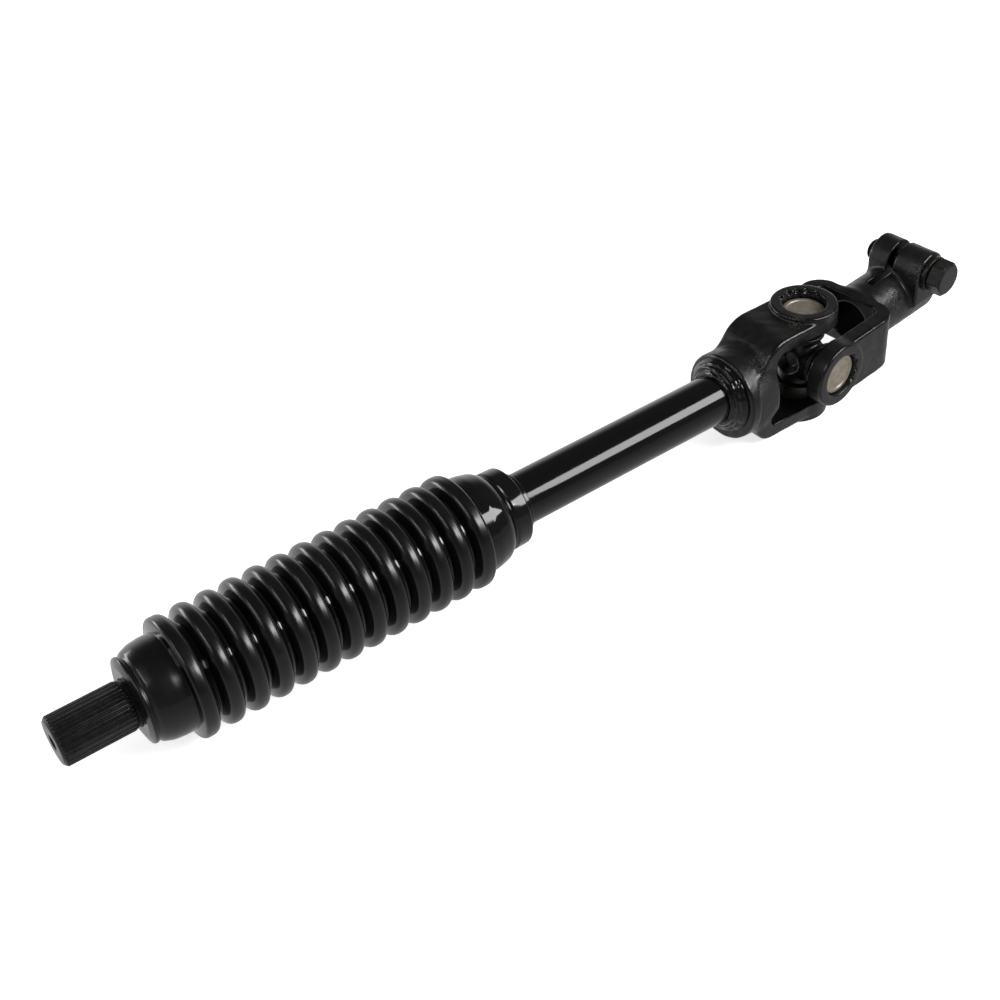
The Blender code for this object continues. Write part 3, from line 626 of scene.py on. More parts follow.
class Tree(NodeWork):
    """A Geometry Nodes tree that is built in the script, with named inputs."""

    def __init__(self, name: str, **kinds: str) -> None:
        """Start a tree with its inputs and a geometry output.

        Args:
            name: The tree's name.
            **kinds: The kind of socket of each input besides the geometry.
        """
        super().__init__(bpy.data.node_groups.new(name, "GeometryNodeTree"))
        self.keys: dict[str, str] = {}
        sides = self.tree.interface
        for key, kind in {"Geometry": "Geometry", **kinds}.items():
            socket = sides.new_socket(key, in_out="INPUT", socket_type=f"NodeSocket{kind}")
            self.keys[key] = socket.identifier
        sides.new_socket("Geometry", in_out="OUTPUT", socket_type="NodeSocketGeometry")
        self.inputs = self.tree.nodes.new("NodeGroupInput")
        self.outputs = self.tree.nodes.new("NodeGroupOutput")

    def given(self, name: str) -> Socket:
        """Return the socket of a named input."""
        return self.inputs.outputs[name]

    def angle_round(self) -> Socket:
        """Return each copy's angle, evenly spread over a full turn."""
        share = self.maths("DIVIDE", FULL_TURN, self.given("Count"))
        return self.maths("MULTIPLY", self.add("GeometryNodeInputIndex").outputs[0], share)

    def turn(self, angle: Socket) -> Socket:
        """Return the rotation by an angle about the X axis."""
        return self.add("FunctionNodeEulerToRotation", Euler=self.joined_up(X=angle)).outputs[0]

    def copied(self, offset: Any, place: Socket | None = None, **ways: Any) -> Tree:
        """End the tree with copies of the geometry as real meshes in the given material.

        Args:
            offset: The step from one copy to the next.
            place: Where each copy goes instead, if it doesn't lie in a straight row.
            **ways: The rotation and scale of each copy.

        Returns:
            The tree.
        """
        row = self.add("GeometryNodeMeshLine", Count=self.given("Count"),
                       Offset=offset).outputs["Mesh"]
        if place is not None:
            row = self.add("GeometryNodeSetPosition", Geometry=row,
                           Position=place).outputs["Geometry"]
        copies = self.add("GeometryNodeInstanceOnPoints", Points=row,
                          Instance=self.given("Geometry"), **ways)
        real = self.add("GeometryNodeRealizeInstances", Geometry=copies.outputs["Instances"])
        merged = self.add("GeometryNodeMergeByDistance", Geometry=real.outputs["Geometry"],
                          Distance=0.002 * MM)
        dressed = self.add("GeometryNodeSetMaterial", Geometry=merged.outputs["Geometry"],
                           Material=self.given("Material"))
        self.feed(self.outputs.inputs["Geometry"], dressed.outputs["Geometry"])
        return self

    def run(self, item: Item, **values: Any) -> Item:
        """Put the tree on an object, bake the result into its mesh and take the tree off.

        Args:
            item: The object whose mesh is the tree's geometry.
            **values: The named inputs.

        Returns:
            The object with its new mesh.
        """
        step = item.modifiers.new(self.tree.name, "NODES")
        step.node_group = self.tree
        for key, value in values.items():
            step[self.keys[key]] = value
        return baked(item)


def baked(item: Item) -> Item:
    """Turn an object's modifiers into its plain mesh.

    Args:
        item: The object.

    Returns:
        The same object.
    """
    graph = bpy.context.evaluated_depsgraph_get()
    mesh = bpy.data.meshes.new_from_object(item.evaluated_get(graph))
    item.modifiers.clear()
    old, item.data = item.data, mesh
    bpy.data.meshes.remove(old)
    return item


def row_tree() -> Tree:
    """Build the tree that repeats a piece in a straight row along X."""
    tree = Tree("row_of_folds", Count="Int", Pitch="Float", Material="Material")
    return tree.copied(tree.joined_up(X=tree.given("Pitch")))


def round_tree() -> Tree:
    """Build the tree that repeats a piece evenly round the X axis."""
    tree = Tree("ring_of_copies", Count="Int", Material="Material")
    return tree.copied((0, 0, 0), Rotation=tree.turn(tree.angle_round()))


def weld_tree() -> Tree:
    """Build the tree that lays overlapping drops of weld round the X axis.

    Returns:
        The tree, which sways each drop and changes its size at random from its seed.
    """
    tree = Tree("ring_of_weld_drops", Count="Int", Radius="Float", Station="Float",
                Unevenness="Float", Seed="Int", Material="Material")
    angle, seed = tree.angle_round(), tree.given("Seed")
    way = tree.joined_up(Y=tree.maths("COSINE", angle), Z=tree.maths("SINE", angle))
    sway = tree.add("FunctionNodeRandomValue", {"data_type": "FLOAT_VECTOR"},
                    n0=(-0.5, -0.5, -0.5), n1=(0.5, 0.5, 0.5), Seed=seed).outputs[0]
    size = tree.add("FunctionNodeRandomValue", {"data_type": "FLOAT"}, n2=0.86, n3=1.14,
                    Seed=seed).outputs[1]
    ring = tree.vectors("ADD", n0=tree.vectors("SCALE", n0=way, Scale=tree.given("Radius")),
                        n1=tree.joined_up(X=tree.given("Station")))
    place = tree.vectors("ADD", n0=ring, n1=tree.vectors("SCALE", n0=sway,
                                                         Scale=tree.given("Unevenness")))
    return tree.copied((0, 0, 0), place, Rotation=tree.turn(angle), Scale=size)


# Finishes


class Shader(NodeWork):
    """A Principled material with short calls for what colours and roughens it."""

    def __init__(self, name: str, **constants: Any) -> None:
        """Start a material and set the shader's own constants.

        Args:
            name: The material's name.
            **constants: Values of the shader's sockets, with underscores for spaces.
        """
        self.material = bpy.data.materials.new(name)
        self.material.use_nodes = True
        super().__init__(self.material.node_tree)
        self.surface = self.tree.nodes["Principled BSDF"]
        for key, value in constants.items():
            self.surface.inputs[key.replace("_", " ")].default_value = value
        self.where = self.add("ShaderNodeTexCoord").outputs["Object"]

    def noise(self, scale: float, detail: float = 4.0, stretch: Triple | None = None) -> Socket:
        """Return even noise on the piece's own coordinates.

        Args:
            scale: Grains per metre.
            detail: Finer layers of it.
            stretch: Factor on each axis.

        Returns:
            The noise from 0 to 1.
        """
        where = self.where
        if stretch is not None:
            where = self.add("ShaderNodeMapping", Vector=where, Scale=stretch).outputs[0]
        return self.add("ShaderNodeTexNoise", Vector=where, Scale=scale,
                        Detail=detail).outputs["Fac"]

    def cells(self, scale: float) -> Socket:
        """Return the distance to the nearest of scattered points, per metre of scale."""
        return self.add("ShaderNodeTexVoronoi", Vector=self.where,
                        Scale=scale).outputs["Distance"]

    def stored(self, name: str) -> Socket:
        """Return a level that is stored on the mesh's points."""
        return self.add("ShaderNodeAttribute", {"attribute_name": name}).outputs["Fac"]

    def mixed(self, share: Any, first: Any, second: Any) -> Socket:
        """Return a colour between two colours.

        Args:
            share: How much of the second it holds.
            first: A colour or the output of a node.
            second: The same for the other end.

        Returns:
            The colour.
        """
        first, second = (colour if isinstance(colour, Socket) else (*colour, 1.0)
                         for colour in (first, second))
        return self.add("ShaderNodeMix", {"data_type": "RGBA"}, n0=share, n6=first,
                        n7=second).outputs[2]

    def length(self, a: Socket, b: Socket) -> Socket:
        """Return the length of the slope over two sides that stand square."""
        return self.maths("SQRT", self.maths("ADD", self.maths("MULTIPLY", a, a),
                                             self.maths("MULTIPLY", b, b)))

    def reach(self, axis_height: float) -> Socket:
        """Return the distance from the shaft's axis, which lies at the given height."""
        _, y, z = self.parts(self.where)
        return self.length(y, self.maths("SUBTRACT", z, axis_height))

    def bump(self, height: Any, depth: float, below: Socket | None = None) -> Socket:
        """Return a normal with relief.

        Args:
            height: The relief from 0 to 1.
            depth: Its depth in metres.
            below: The normal that it lies on.

        Returns:
            The normal.
        """
        node = self.add("ShaderNodeBump", Distance=depth, Height=height)
        if below is not None:
            self.feed(node.inputs["Normal"], below)
        return node.outputs[0]

    def finish(self, colour: Any, roughness: Any, normal: Socket) -> bpy.types.Material:
        """Feed the surface.

        Args:
            colour: The base colour.
            roughness: The roughness.
            normal: The normal.

        Returns:
            The material.
        """
        for key, value in (("Base Color", colour), ("Roughness", roughness),
                           ("Normal", normal)):
            self.feed(self.surface.inputs[key], value)
        return self.material


@dataclass(frozen=True)
class ForgedPaint:
    """Black paint over a forged skin, rough where the scale showed through."""

    name: str = "forged_black_paint"
    slot: Slot = Slot.PAINT
    dark: Colour = (0.0025, 0.0025, 0.0023)
    light: Colour = (0.006, 0.006, 0.0055)
    bare: Colour = (0.05, 0.05, 0.048)
    # Painted shade in narrow gaps, and the mask levels over which it comes in.
    painted_gap_shade: Colour = (0.0006, 0.0006, 0.0006)
    unlit_from: float = 0.45
    unlit_full: float = 0.9
    roughness: Pair = (0.30, 0.44)
    worn_shine: float = 0.10
    edge_shine: float = 0.19
    speckle_scale: float = 1500.0
    grain_scale: float = 900.0
    grain_depth: float = 0.022 * MM
    hammer_scale: float = 230.0
    hammer_depth: float = 0.05 * MM
    pit_scale: float = 1300.0
    pit_depth: float = 0.11 * MM

    def make(self) -> bpy.types.Material:
        """Make the material, with painted shade in narrow gaps: black colour and no reflection
        there.

        Returns:
            The material.
        """
        shader = Shader(self.name, Metallic=0.0, Specular_IOR_Level=0.42)
        worn = shader.stored("worn")
        speckles = shader.span(shader.noise(self.speckle_scale, 3.0), 0.48, 0.66, 0.0, 1.0)
        cloud = shader.span(shader.noise(70.0, 3.0), 0.35, 0.65, 0.0, 1.0)
        colour = shader.mixed(shader.maths("MULTIPLY", worn, speckles),
                              shader.mixed(cloud, self.dark, self.light), self.bare)
        # Painted shade: narrow gaps are painted black, and metallic on a black colour there takes
        # their reflection away.
        gap = shader.span(shader.stored("gap_shade_mask"), self.unlit_from, self.unlit_full, 0.0, 1.0)
        colour = shader.mixed(gap, colour, self.painted_gap_shade)
        shader.feed(shader.surface.inputs["Metallic"], gap)
        shine = shader.maths("MAXIMUM", shader.maths("MULTIPLY", worn, self.worn_shine),
                             shader.maths("MULTIPLY", shader.stored("edge"), self.edge_shine))
        roughness = shader.maths("SUBTRACT", shader.span(shader.noise(260.0), 0.3, 0.7,
                                                         *self.roughness), shine)
        skin = shader.bump(shader.noise(self.grain_scale, 5.0), self.grain_depth)
        skin = shader.bump(shader.noise(self.hammer_scale, 2.0), self.hammer_depth, skin)
        pits = shader.maths("MULTIPLY", worn, shader.noise(self.pit_scale, 3.0))
        return shader.finish(colour, roughness, shader.bump(pits, self.pit_depth, skin))


@dataclass(frozen=True)
class GlossPaint:
    """Smooth gloss black paint with a faint orange peel and a little dust."""

    name: str = "gloss_black_paint_coat"
    slot: Slot = Slot.GLOSS
    colour: Colour = (0.003, 0.003, 0.003)
    dust: Colour = (0.02, 0.02, 0.02)
    dust_scale: float = 420.0
    dust_share: float = 0.6
    roughness: Pair = (0.07, 0.11)
    peel_scale: float = 520.0
    peel_depth: float = 0.005 * MM
    wave_scale: float = 60.0
    wave_depth: float = 0.012 * MM

    def make(self) -> bpy.types.Material:
        """Make the material.

        Returns:
            The material.
        """
        shader = Shader(self.name, Metallic=0.0, Specular_IOR_Level=0.42)
        specks = shader.span(shader.cells(self.dust_scale), 0.02, 0.1, 1.0, 0.0)
        colour = shader.mixed(shader.maths("MULTIPLY", specks, self.dust_share), self.colour,
                              self.dust)
        roughness = shader.span(shader.noise(140.0), 0.35, 0.65, *self.roughness)
        peel = shader.bump(shader.noise(self.peel_scale, 2.0), self.peel_depth)
        wave = shader.bump(shader.noise(self.wave_scale, 1.0), self.wave_depth, peel)
        return shader.finish(colour, roughness, wave)


@dataclass(frozen=True)
class BootRubber:
    """Polished black moulded rubber with faint flow marks, duller on crests and nose."""

    axis_height: float
    nose_end: float
    name: str = "moulded_black_rubber"
    slot: Slot = Slot.RUBBER
    colour: Colour = (0.0018, 0.0018, 0.0018)
    bloom: Colour = (0.0045, 0.0045, 0.0042)
    roughness: Pair = (0.06, 0.12)
    crest_dullness: float = 0.16
    crest_radii: Pair = (20.6 * MM, 23.0 * MM)
    nose_dullness: float = 0.12
    nose_fade: float = 2.0 * MM
    flow_scale: float = 95.0
    flow_depth: float = 0.0224 * MM
    grain_scale: float = 1300.0
    grain_depth: float = 0.00168 * MM

    def make(self) -> bpy.types.Material:
        """Make the material.

        Returns:
            The material.
        """
        shader = Shader(self.name, Metallic=0.0)
        cloud = shader.span(shader.noise(55.0), 0.38, 0.66, 0.0, 1.0)
        streaks = shader.span(shader.noise(110.0, 5.0, (0.5, 1.0, 1.0)), 0.35, 0.65,
                              *self.roughness)
        crest = shader.span(shader.reach(self.axis_height), *self.crest_radii, 0.0,
                            self.crest_dullness)
        nose = shader.span(shader.parts(shader.where)[0], self.nose_end - self.nose_fade,
                           self.nose_end, self.nose_dullness, 0.0)
        roughness = shader.maths("ADD", streaks, shader.maths("ADD", crest, nose))
        flow = shader.bump(shader.noise(self.flow_scale, 2.0), self.flow_depth)
        grain = shader.bump(shader.noise(self.grain_scale, 3.0), self.grain_depth, flow)
        return shader.finish(shader.mixed(cloud, self.colour, self.bloom), roughness, grain)


@dataclass(frozen=True)
class SealRubber:
    """Matt black rubber of the bearing seals."""

    name: str = "seal_black_rubber"
    slot: Slot = Slot.SEAL
    dark: Colour = (0.005, 0.005, 0.005)
    light: Colour = (0.010, 0.0097, 0.0092)
    roughness: Pair = (0.28, 0.4)
    grain_scale: float = 1500.0
    grain_depth: float = 0.01 * MM

    def make(self) -> bpy.types.Material:
        """Make the material.

        Returns:
            The material.
        """
        shader = Shader(self.name, Metallic=0.0)
        colour = shader.mixed(shader.noise(300.0, 3.0), self.dark, self.light)
        roughness = shader.span(shader.noise(700.0, 3.0), 0.3, 0.7, *self.roughness)
        grain = shader.bump(shader.noise(self.grain_scale, 3.0), self.grain_depth)
        return shader.finish(colour, roughness, grain)


@dataclass(frozen=True)
class OxideSteel:
    """Dark oiled steel, which may have one turned end face that is lighter."""

    name: str = "oiled_dark_steel"
    slot: Slot = Slot.DARK
    dark: Colour = (0.006, 0.0058, 0.0055)
    light: Colour = (0.015, 0.0147, 0.0138)
    face: Colour = (0.13, 0.125, 0.115)
    axis_height: float = 0.0
    face_station: float = -1.0
    face_depth: float = 1.1 * MM
    face_fade: float = 0.2 * MM
    metallic: float = 0.35
    roughness: Pair = (0.24, 0.4)
    ring_pitch: float = 0.45 * MM
    ring_depth: float = 0.006 * MM
    grain_scale: float = 1400.0
    grain_depth: float = 0.012 * MM

    def make(self) -> bpy.types.Material:
        """Make the material, with fine turned rings on the face at its station.

        Returns:
            The material.
        """
        shader = Shader(self.name, Metallic=self.metallic, Specular_IOR_Level=0.42)
        face_end = self.face_station + self.face_depth
        on_face = shader.span(shader.parts(shader.where)[0], face_end + self.face_fade,
                              face_end, 0.0, 1.0)
        smear = shader.span(shader.noise(400.0, 5.0), 0.3, 0.7, 0.0, 1.0)
        wiped = shader.maths("MULTIPLY", on_face, shader.span(smear, 0.0, 1.0, 0.45, 1.0))
        colour = shader.mixed(wiped, shader.mixed(smear, self.dark, self.light), self.face)
        roughness = shader.span(shader.noise(900.0, 3.0), 0.3, 0.7, *self.roughness)
        rings = shader.maths("SINE", shader.maths("MULTIPLY", shader.reach(self.axis_height),
                                                  FULL_TURN / self.ring_pitch))
        normal = shader.bump(shader.noise(self.grain_scale), self.grain_depth)
        normal = shader.bump(shader.maths("MULTIPLY", rings, on_face), self.ring_depth, normal)
        return shader.finish(colour, roughness, normal)


@dataclass(frozen=True)
class BearingSteel:
    """Warm bright steel of the bearing cups, ringed on its faces; the sides inside the bore are
    darker, with oil and painted shade.
    """

    name: str
    centre: Triple
    yaw: float
    upright: bool
    slot: Slot = Slot.BRIGHT
    first: Colour = (0.24, 0.21, 0.165)
    second: Colour = (0.34, 0.305, 0.25)
    # Colour of the cup's sides: oil, and painted shade inside the yoke's bore.
    oiled: Colour = (0.035, 0.033, 0.03)
    bright_from: float = 20.6 * MM
    bright_fade: float = 0.8 * MM
    metallic: float = 0.6
    roughness: Pair = (0.34, 0.5)
    ring_pitch: float = 0.62 * MM
    ring_wander: float = 0.25 * MM
    ring_depth: float = 0.006 * MM
    grain_scale: float = 1500.0
    grain_depth: float = 0.01 * MM

    def make(self) -> bpy.types.Material:
        """Make the material, with its rings round the cup's own axis.

        Returns:
            The material.
        """
        shader = Shader(self.name, Metallic=self.metallic)
        moved = shader.vectors("SUBTRACT", n0=shader.where, n1=self.centre)
        turned_back = shader.add("ShaderNodeVectorRotate", {"rotation_type": "Z_AXIS"},
                                 Vector=moved, Angle=-math.radians(self.yaw)).outputs[0]
        x, y, z = shader.parts(turned_back)
        along, across = (z, y) if self.upright else (y, z)
        stain = shader.span(shader.noise(330.0), 0.34, 0.66, 0.0, 1.0)
        # Painted shade with oil: the sides inside the bore take the dark colour, and only the end
        # faces show the bright steel.
        clear_of_oil_and_shade = shader.span(shader.maths("ABSOLUTE", along), self.bright_from - self.bright_fade,
                            self.bright_from, 0.0, 1.0)
        colour = shader.mixed(clear_of_oil_and_shade, self.oiled, shader.mixed(stain, self.first, self.second))
        roughness = shader.span(shader.noise(800.0), 0.3, 0.7, *self.roughness)
        wander = shader.maths("MULTIPLY", shader.noise(500.0, 3.0), self.ring_wander)
        reach = shader.maths("ADD", shader.length(x, across), wander)
        rings = shader.maths("SINE", shader.maths("MULTIPLY", reach,
                                                  FULL_TURN / self.ring_pitch))
        normal = shader.bump(shader.noise(self.grain_scale), self.grain_depth,
                             shader.bump(rings, self.ring_depth))
        return shader.finish(colour, roughness, normal)


Finish = ForgedPaint | GlossPaint | BootRubber | SealRubber | OxideSteel | BearingSteel


class Coat:
    """A finish whose material is made once, for every piece that wears it."""

    def __init__(self, finish: Finish) -> None:
        """Make the finish's material.

        Args:
            finish: The finish.
        """
        self.name = finish.name
        self.slot = finish.slot
        self.material = finish.make()


def hand_over(item: Item, body: Body, coat: Coat, *nodes: str, ride: bool = True) -> None:
    """Dress a finished piece and let it move with its body.

    Args:
        item: The piece.
        body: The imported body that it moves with.
        coat: What it wears.
        *nodes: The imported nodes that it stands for.
        ride: Whether it rides on the body, which a piece that bends doesn't.
    """
    item.data.materials.clear()
    item.data.materials.append(coat.material)
    if ride:
        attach(item, body.value)
    if nodes:
        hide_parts(*nodes)
    LOG.info("%s: %d faces, %s on %s", item.name, len(item.data.polygons), coat.name, body.value)


# Sub-assemblies


@dataclass
class LowerShaft:
    """The splined lower shaft: the fine spline that shows, and the slip spline inside."""

    teeth: int = 36
    tip_radius: float = 9.525
    tooth_depth: float = 0.55
    tooth: tuple[Pair, ...] = (
        (0.0, 0.0), (0.08, 0.0), (0.16, 0.14), (0.34, 0.93), (0.40, 1.0), (0.60, 1.0),
        (0.66, 0.93), (0.84, 0.14), (0.92, 0.0), (1.0, 0.0))
    spline_length: float = 26.0
    runout: float = 1.5
    chamfer: float = 1.25
    hole_radius: float = 3.3
    hole_depth: float = 5.0
    journal_radius: float = 9.15
    journal_end: float = 33.0
    collar_radius: float = 10.8
    collar_width: float = 3.5
    shank_radius: float = 8.3
    slip_teeth: int = 10
    slip_radius: float = 8.9
    slip_depth: float = 1.0
    slip_span: Pair = (60.0, 250.0)
    bright_behind: float = 1.15
    sharp: float = 24.0

    def stub_rows(self) -> list[Pair]:
        """Lay out the stub from its centre hole to the shank.

        Returns:
            Its (station, largest radius) rows.
        """
        tip, hole, deep = self.tip_radius, self.hole_radius, self.hole_depth
        root = tip - self.tooth_depth
        face = tip - self.chamfer
        end = self.spline_length + self.runout
        journal, collar, shank = self.journal_radius, self.collar_radius, self.shank_radius
        collar_start, collar_end = self.journal_end, self.journal_end + self.collar_width
        stop = self.slip_span[0] + 1.0
        return [
            (deep, 0.0), (deep, 0.38 * hole), (0.5 * deep, 0.42 * hole), (0.42 * deep, 0.5 * hole),
            (0.1, hole - 0.1), (0.0, hole + 0.1), (0.0, 0.6 * tip), (0.0, face - 0.12),
            (0.06, face + 0.02), (root - face, root), (self.chamfer - 0.1, tip - 0.1),
            (self.chamfer + 0.15, tip), (10.0, tip), (18.0, tip), (self.spline_length - 0.2, tip),
            (self.spline_length + 0.2, tip - 0.06),
            (self.spline_length + 0.6 * self.runout, tip - 0.3), (end, root),
            (end + 0.15, journal - 0.3), (end + 0.3, journal), (collar_start - 0.02, journal),
            (collar_start, collar - 0.3), (collar_start + 0.3, collar), (collar_end - 0.3, collar),
            (collar_end, collar - 0.3), (collar_end, shank + 0.5), (collar_end + 0.5, shank),
            (stop, shank), (stop, 0.0)]

    def slip_rows(self) -> list[Pair]:
        """Lay out the slip spline.

        Returns:
            Its (station, largest radius) rows.
        """
        low, high = self.slip_span
        tip, end = self.slip_radius, self.slip_radius - self.slip_depth - 1.0
        return [(low, 0.0), (low, end), (low + 1.0, tip - 0.1), (low + 1.3, tip),
                (high - 1.3, tip), (high - 1.0, tip - 0.1), (high, end), (high, 0.0)]

    def sector(self, name: str, rows: Sequence[Pair], teeth: int, tip: float,
               depth: float) -> Item:
        """Make one tooth's share of a toothed bar, from its first pole to its last.

        Args:
            name: The object's name.
            rows: (station, largest radius) along the bar.
            teeth: How many shares go round.
            tip: Radius over the teeth.
            depth: Depth of a tooth.

        Returns:
            The object, in local metres.
        """
        points, faces = [], []
        for station, limit in rows:
            for part, rise in self.tooth:
                angle = FULL_TURN * part / teeth
                radius = min(limit, tip - depth + depth * rise)
                points.append((station * MM, radius * math.cos(angle) * MM,
                               radius * math.sin(angle) * MM))
        width = len(self.tooth)
        for r in range(len(rows) - 1):
            for c in range(width - 1):
                k = r * width + c
                faces.append((k, k + width, k + width + 1, k + 1))
        mesh = bpy.data.meshes.new(name)
        mesh.from_pydata(points, [], faces)
        return new_object(name, mesh)

    def flatten(self, item: Item, rows: Sequence[Pair]) -> None:
        """Make the rows past the spline plain round ones.

        Args:
            item: The share of the bar, in local metres.
            rows: The bar's (station, radius) rows.
        """
        width = len(self.tooth)
        for k, vertex in enumerate(item.data.vertices):
            station, limit = rows[k // width]
            if station > self.spline_length + self.runout - 0.01 and limit > 0.0:
                vertex.co.y, vertex.co.z = Vector(vertex.co[1:3]).normalized() * limit * MM

    def repeated(self, item: Item, count: int, tree: Tree, placement: Placement,
                 coat: Coat) -> Item:
        """Repeat a share all the way round, close it and lay it on the shaft's axis.

        Args:
            item: The share.
            count: How many shares go round.
            tree: The tree that repeats it.
            placement: Where the shaft lies.
            coat: What it wears.

        Returns:
            The whole bar.
        """
        tree.run(item, Count=count, Material=coat.material)
        shape = bmesh.new()
        shape.from_mesh(item.data)
        bmesh.ops.dissolve_degenerate(shape, edges=shape.edges, dist=1e-6)
        bmesh.ops.recalc_face_normals(shape, faces=shape.faces)
        shape.transform(Matrix.Translation(placement.origin))
        shape.to_mesh(item.data)
        shape.free()
        item.data.shade_smooth()
        item.data.set_sharp_from_angle(angle=math.radians(self.sharp))
        return item

    def build(self, layout: Layout, tree: Tree) -> None:
        """Make the lower shaft's two splined parts and hand them over.

        Args:
            layout: Where the sub-assemblies lie.
            tree: The tree that repeats a piece round the shaft's axis.
        """
        start, _, height = layout.shaft.origin
        coat = Coat(OxideSteel(axis_height=height, face_station=start - self.bright_behind * MM))
        rows = self.stub_rows()
        stub = self.sector("splined_stub", rows, self.teeth, self.tip_radius, self.tooth_depth)
        self.flatten(stub, rows)
        stub = self.repeated(stub, self.teeth, tree, layout.shaft, coat)
        hand_over(stub, Body.LOWER, coat, "splined_shaft")
        slip = self.sector("slip_spline", self.slip_rows(), self.slip_teeth, self.slip_radius,
                           self.slip_depth)
        slip = self.repeated(slip, self.slip_teeth, tree, layout.shaft, coat)
        hand_over(slip, Body.LOWER, coat)


@dataclass
class Boot:
    """The bellows boot, whose folds stretch and close as the shaft slides."""

    start: float = 28.7
    wall: float = 1.8
    lip_radius: float = 16.7
    lip_length: float = 2.9
    dome_radius: float = 19.1
    folds: int = 13
    first_fold: float = 48.4
    pitch: float = 9.9
    fold_radius: float = 23.7
    valley_radius: float = 18.7
    crest_half: float = 2.4
    crest_round: float = 3.0
    valley_half: float = 0.5
    valley_round: float = 0.4
    tail_radius: float = 20.2
    tail_length: float = 29.2
    neck_radius: float = 16.6
    neck_length: float = 7.4
    foot_radius: float = 12.6
    foot_length: float = 3.4
    shaft_hole: float = 9.45
    tube_hole: float = 11.14
    steps: int = 144
    sharp: float = 50.0

    @property
    def half(self) -> float:
        """Return how far a fold's valleys lie from its crest."""
        return self.pitch / 2

    @property
    def last_fold(self) -> float:
        """Return the station of the last fold's crest."""
        return self.first_fold + self.pitch * (self.folds - 1)

    def fold_outer(self) -> Array:
        """Return the outer line of one fold, from valley middle to valley middle.

        Returns:
            The points of the line, with the crest at station zero.
        """
        half, crest, valley = self.half, self.crest_half, self.half - self.valley_half
        return soften([
            (-half, self.valley_radius, 0.0), (-valley, self.valley_radius, self.valley_round),
            (-crest, self.fold_radius, self.crest_round),
            (crest, self.fold_radius, self.crest_round),
            (valley, self.valley_radius, self.valley_round), (half, self.valley_radius, 0.0)],
            stride=12.0)

    def fold_inner(self, low: float = -1.5, high: float = 1.5) -> list[Corner]:
        """Return the corners of a fold's inner crest between two stations."""
        return [(x, self.fold_radius - self.wall, 1.2) for x in (low, high)]

    def nose(self) -> Array:
        """Return the profile of the nose.

        Returns:
            Its points, from the shaft's hole over the first fold to the first valley and back
            along the inside.
        """
        outer, start, first = self.fold_outer(), self.start, self.first_fold
        lip, dome, hole = self.lip_radius, self.dome_radius, self.shaft_hole
        lip_end = start + self.lip_length
        crest_start = first - self.crest_half
        valley, inner_valley = first + self.half, self.valley_radius - self.wall
        return np.concatenate([
            soften([
                (start, hole, 0.0), (start, lip - 3.4, 2.5), (start + 1.0, lip, 1.5),
                (lip_end - 0.7, lip, 0.8), (lip_end - 0.2, lip - 0.4, 0.5),
                (lip_end + 0.3, lip - 0.3, 0.5), (lip_end + 1.3, lip + 0.6, 2.0),
                (lip_end + 4.6, dome - 0.5, 9.0), (lip_end + 9.0, dome, 14.0),
                (lip_end + 10.2, dome, 0.0)], stride=7.0),
            soften([
                (crest_start - 4.0, dome, 0.0), (crest_start - 1.05, dome, 0.3),
                (crest_start - 0.4, self.fold_radius, self.crest_round),
                (first + 0.05, self.fold_radius, 0.0)], stride=12.0),
            outer[outer[:, 0] > 0.0] + (first, 0.0),
            [(valley, inner_valley)],
            soften([
                (valley - 0.9, inner_valley, 0.0), *self.fold_inner(first + 1.5, first - 1.5),
                (first - 3.6, dome - self.wall, 0.6), (lip_end + 4.0, dome - self.wall - 1.0, 2.0),
                (start + 2.6, lip - self.wall - 0.6, 0.6), (start + 2.6, hole + 0.3, 0.0),
                (start + 2.3, hole, 0.0)], stride=25.0)])

    def tail(self) -> Array:
        """Return the profile of the tail.

        Returns:
            Its points, from the last valley over the last fold to the collar on the tube and
            back along the inside.
        """
        outer, last = self.fold_outer(), self.last_fold
        tail, neck, foot, hole = (self.tail_radius, self.neck_radius, self.foot_radius,
                                  self.tube_hole)
        tail_end = last + self.tail_length
        neck_end = tail_end - self.foot_length
        neck_start = neck_end - self.neck_length
        run = neck_start - last
        crest_end = last + self.crest_half
        hollow = neck - self.wall - 0.6
        valley, inner_valley = last - self.half, self.valley_radius - self.wall
        return np.concatenate([
            outer[outer[:, 0] < 0.0] + (last, 0.0),
            soften([
                (last - 0.05, self.fold_radius, 0.0),
                (crest_end, self.fold_radius, self.crest_round), (crest_end + 1.4, tail, 0.5),
                (last + 0.46 * run, tail, 9.0), (last + 0.80 * run, tail - 1.3, 7.0),
                (neck_start - 0.2, neck - 0.9, 0.7), (neck_start + 0.9, neck, 0.9),
                (neck_end, neck - 0.1, 0.9), (neck_end, foot, 0.5), (tail_end, foot, 0.5),
                (tail_end, hole, 0.0)], stride=7.0),
            soften([
                (neck_end - 2.6, hole, 0.0), (neck_end - 2.6, hollow, 0.6),
                (neck_start, hollow, 0.5), (last + 0.5 * run, tail - self.wall, 3.0),
                (last + 3.4, tail - self.wall, 0.6), *self.fold_inner(last + 1.5, last - 1.5),
                (valley + 0.9, inner_valley, 0.0)], stride=25.0),
            [(valley, inner_valley)]])

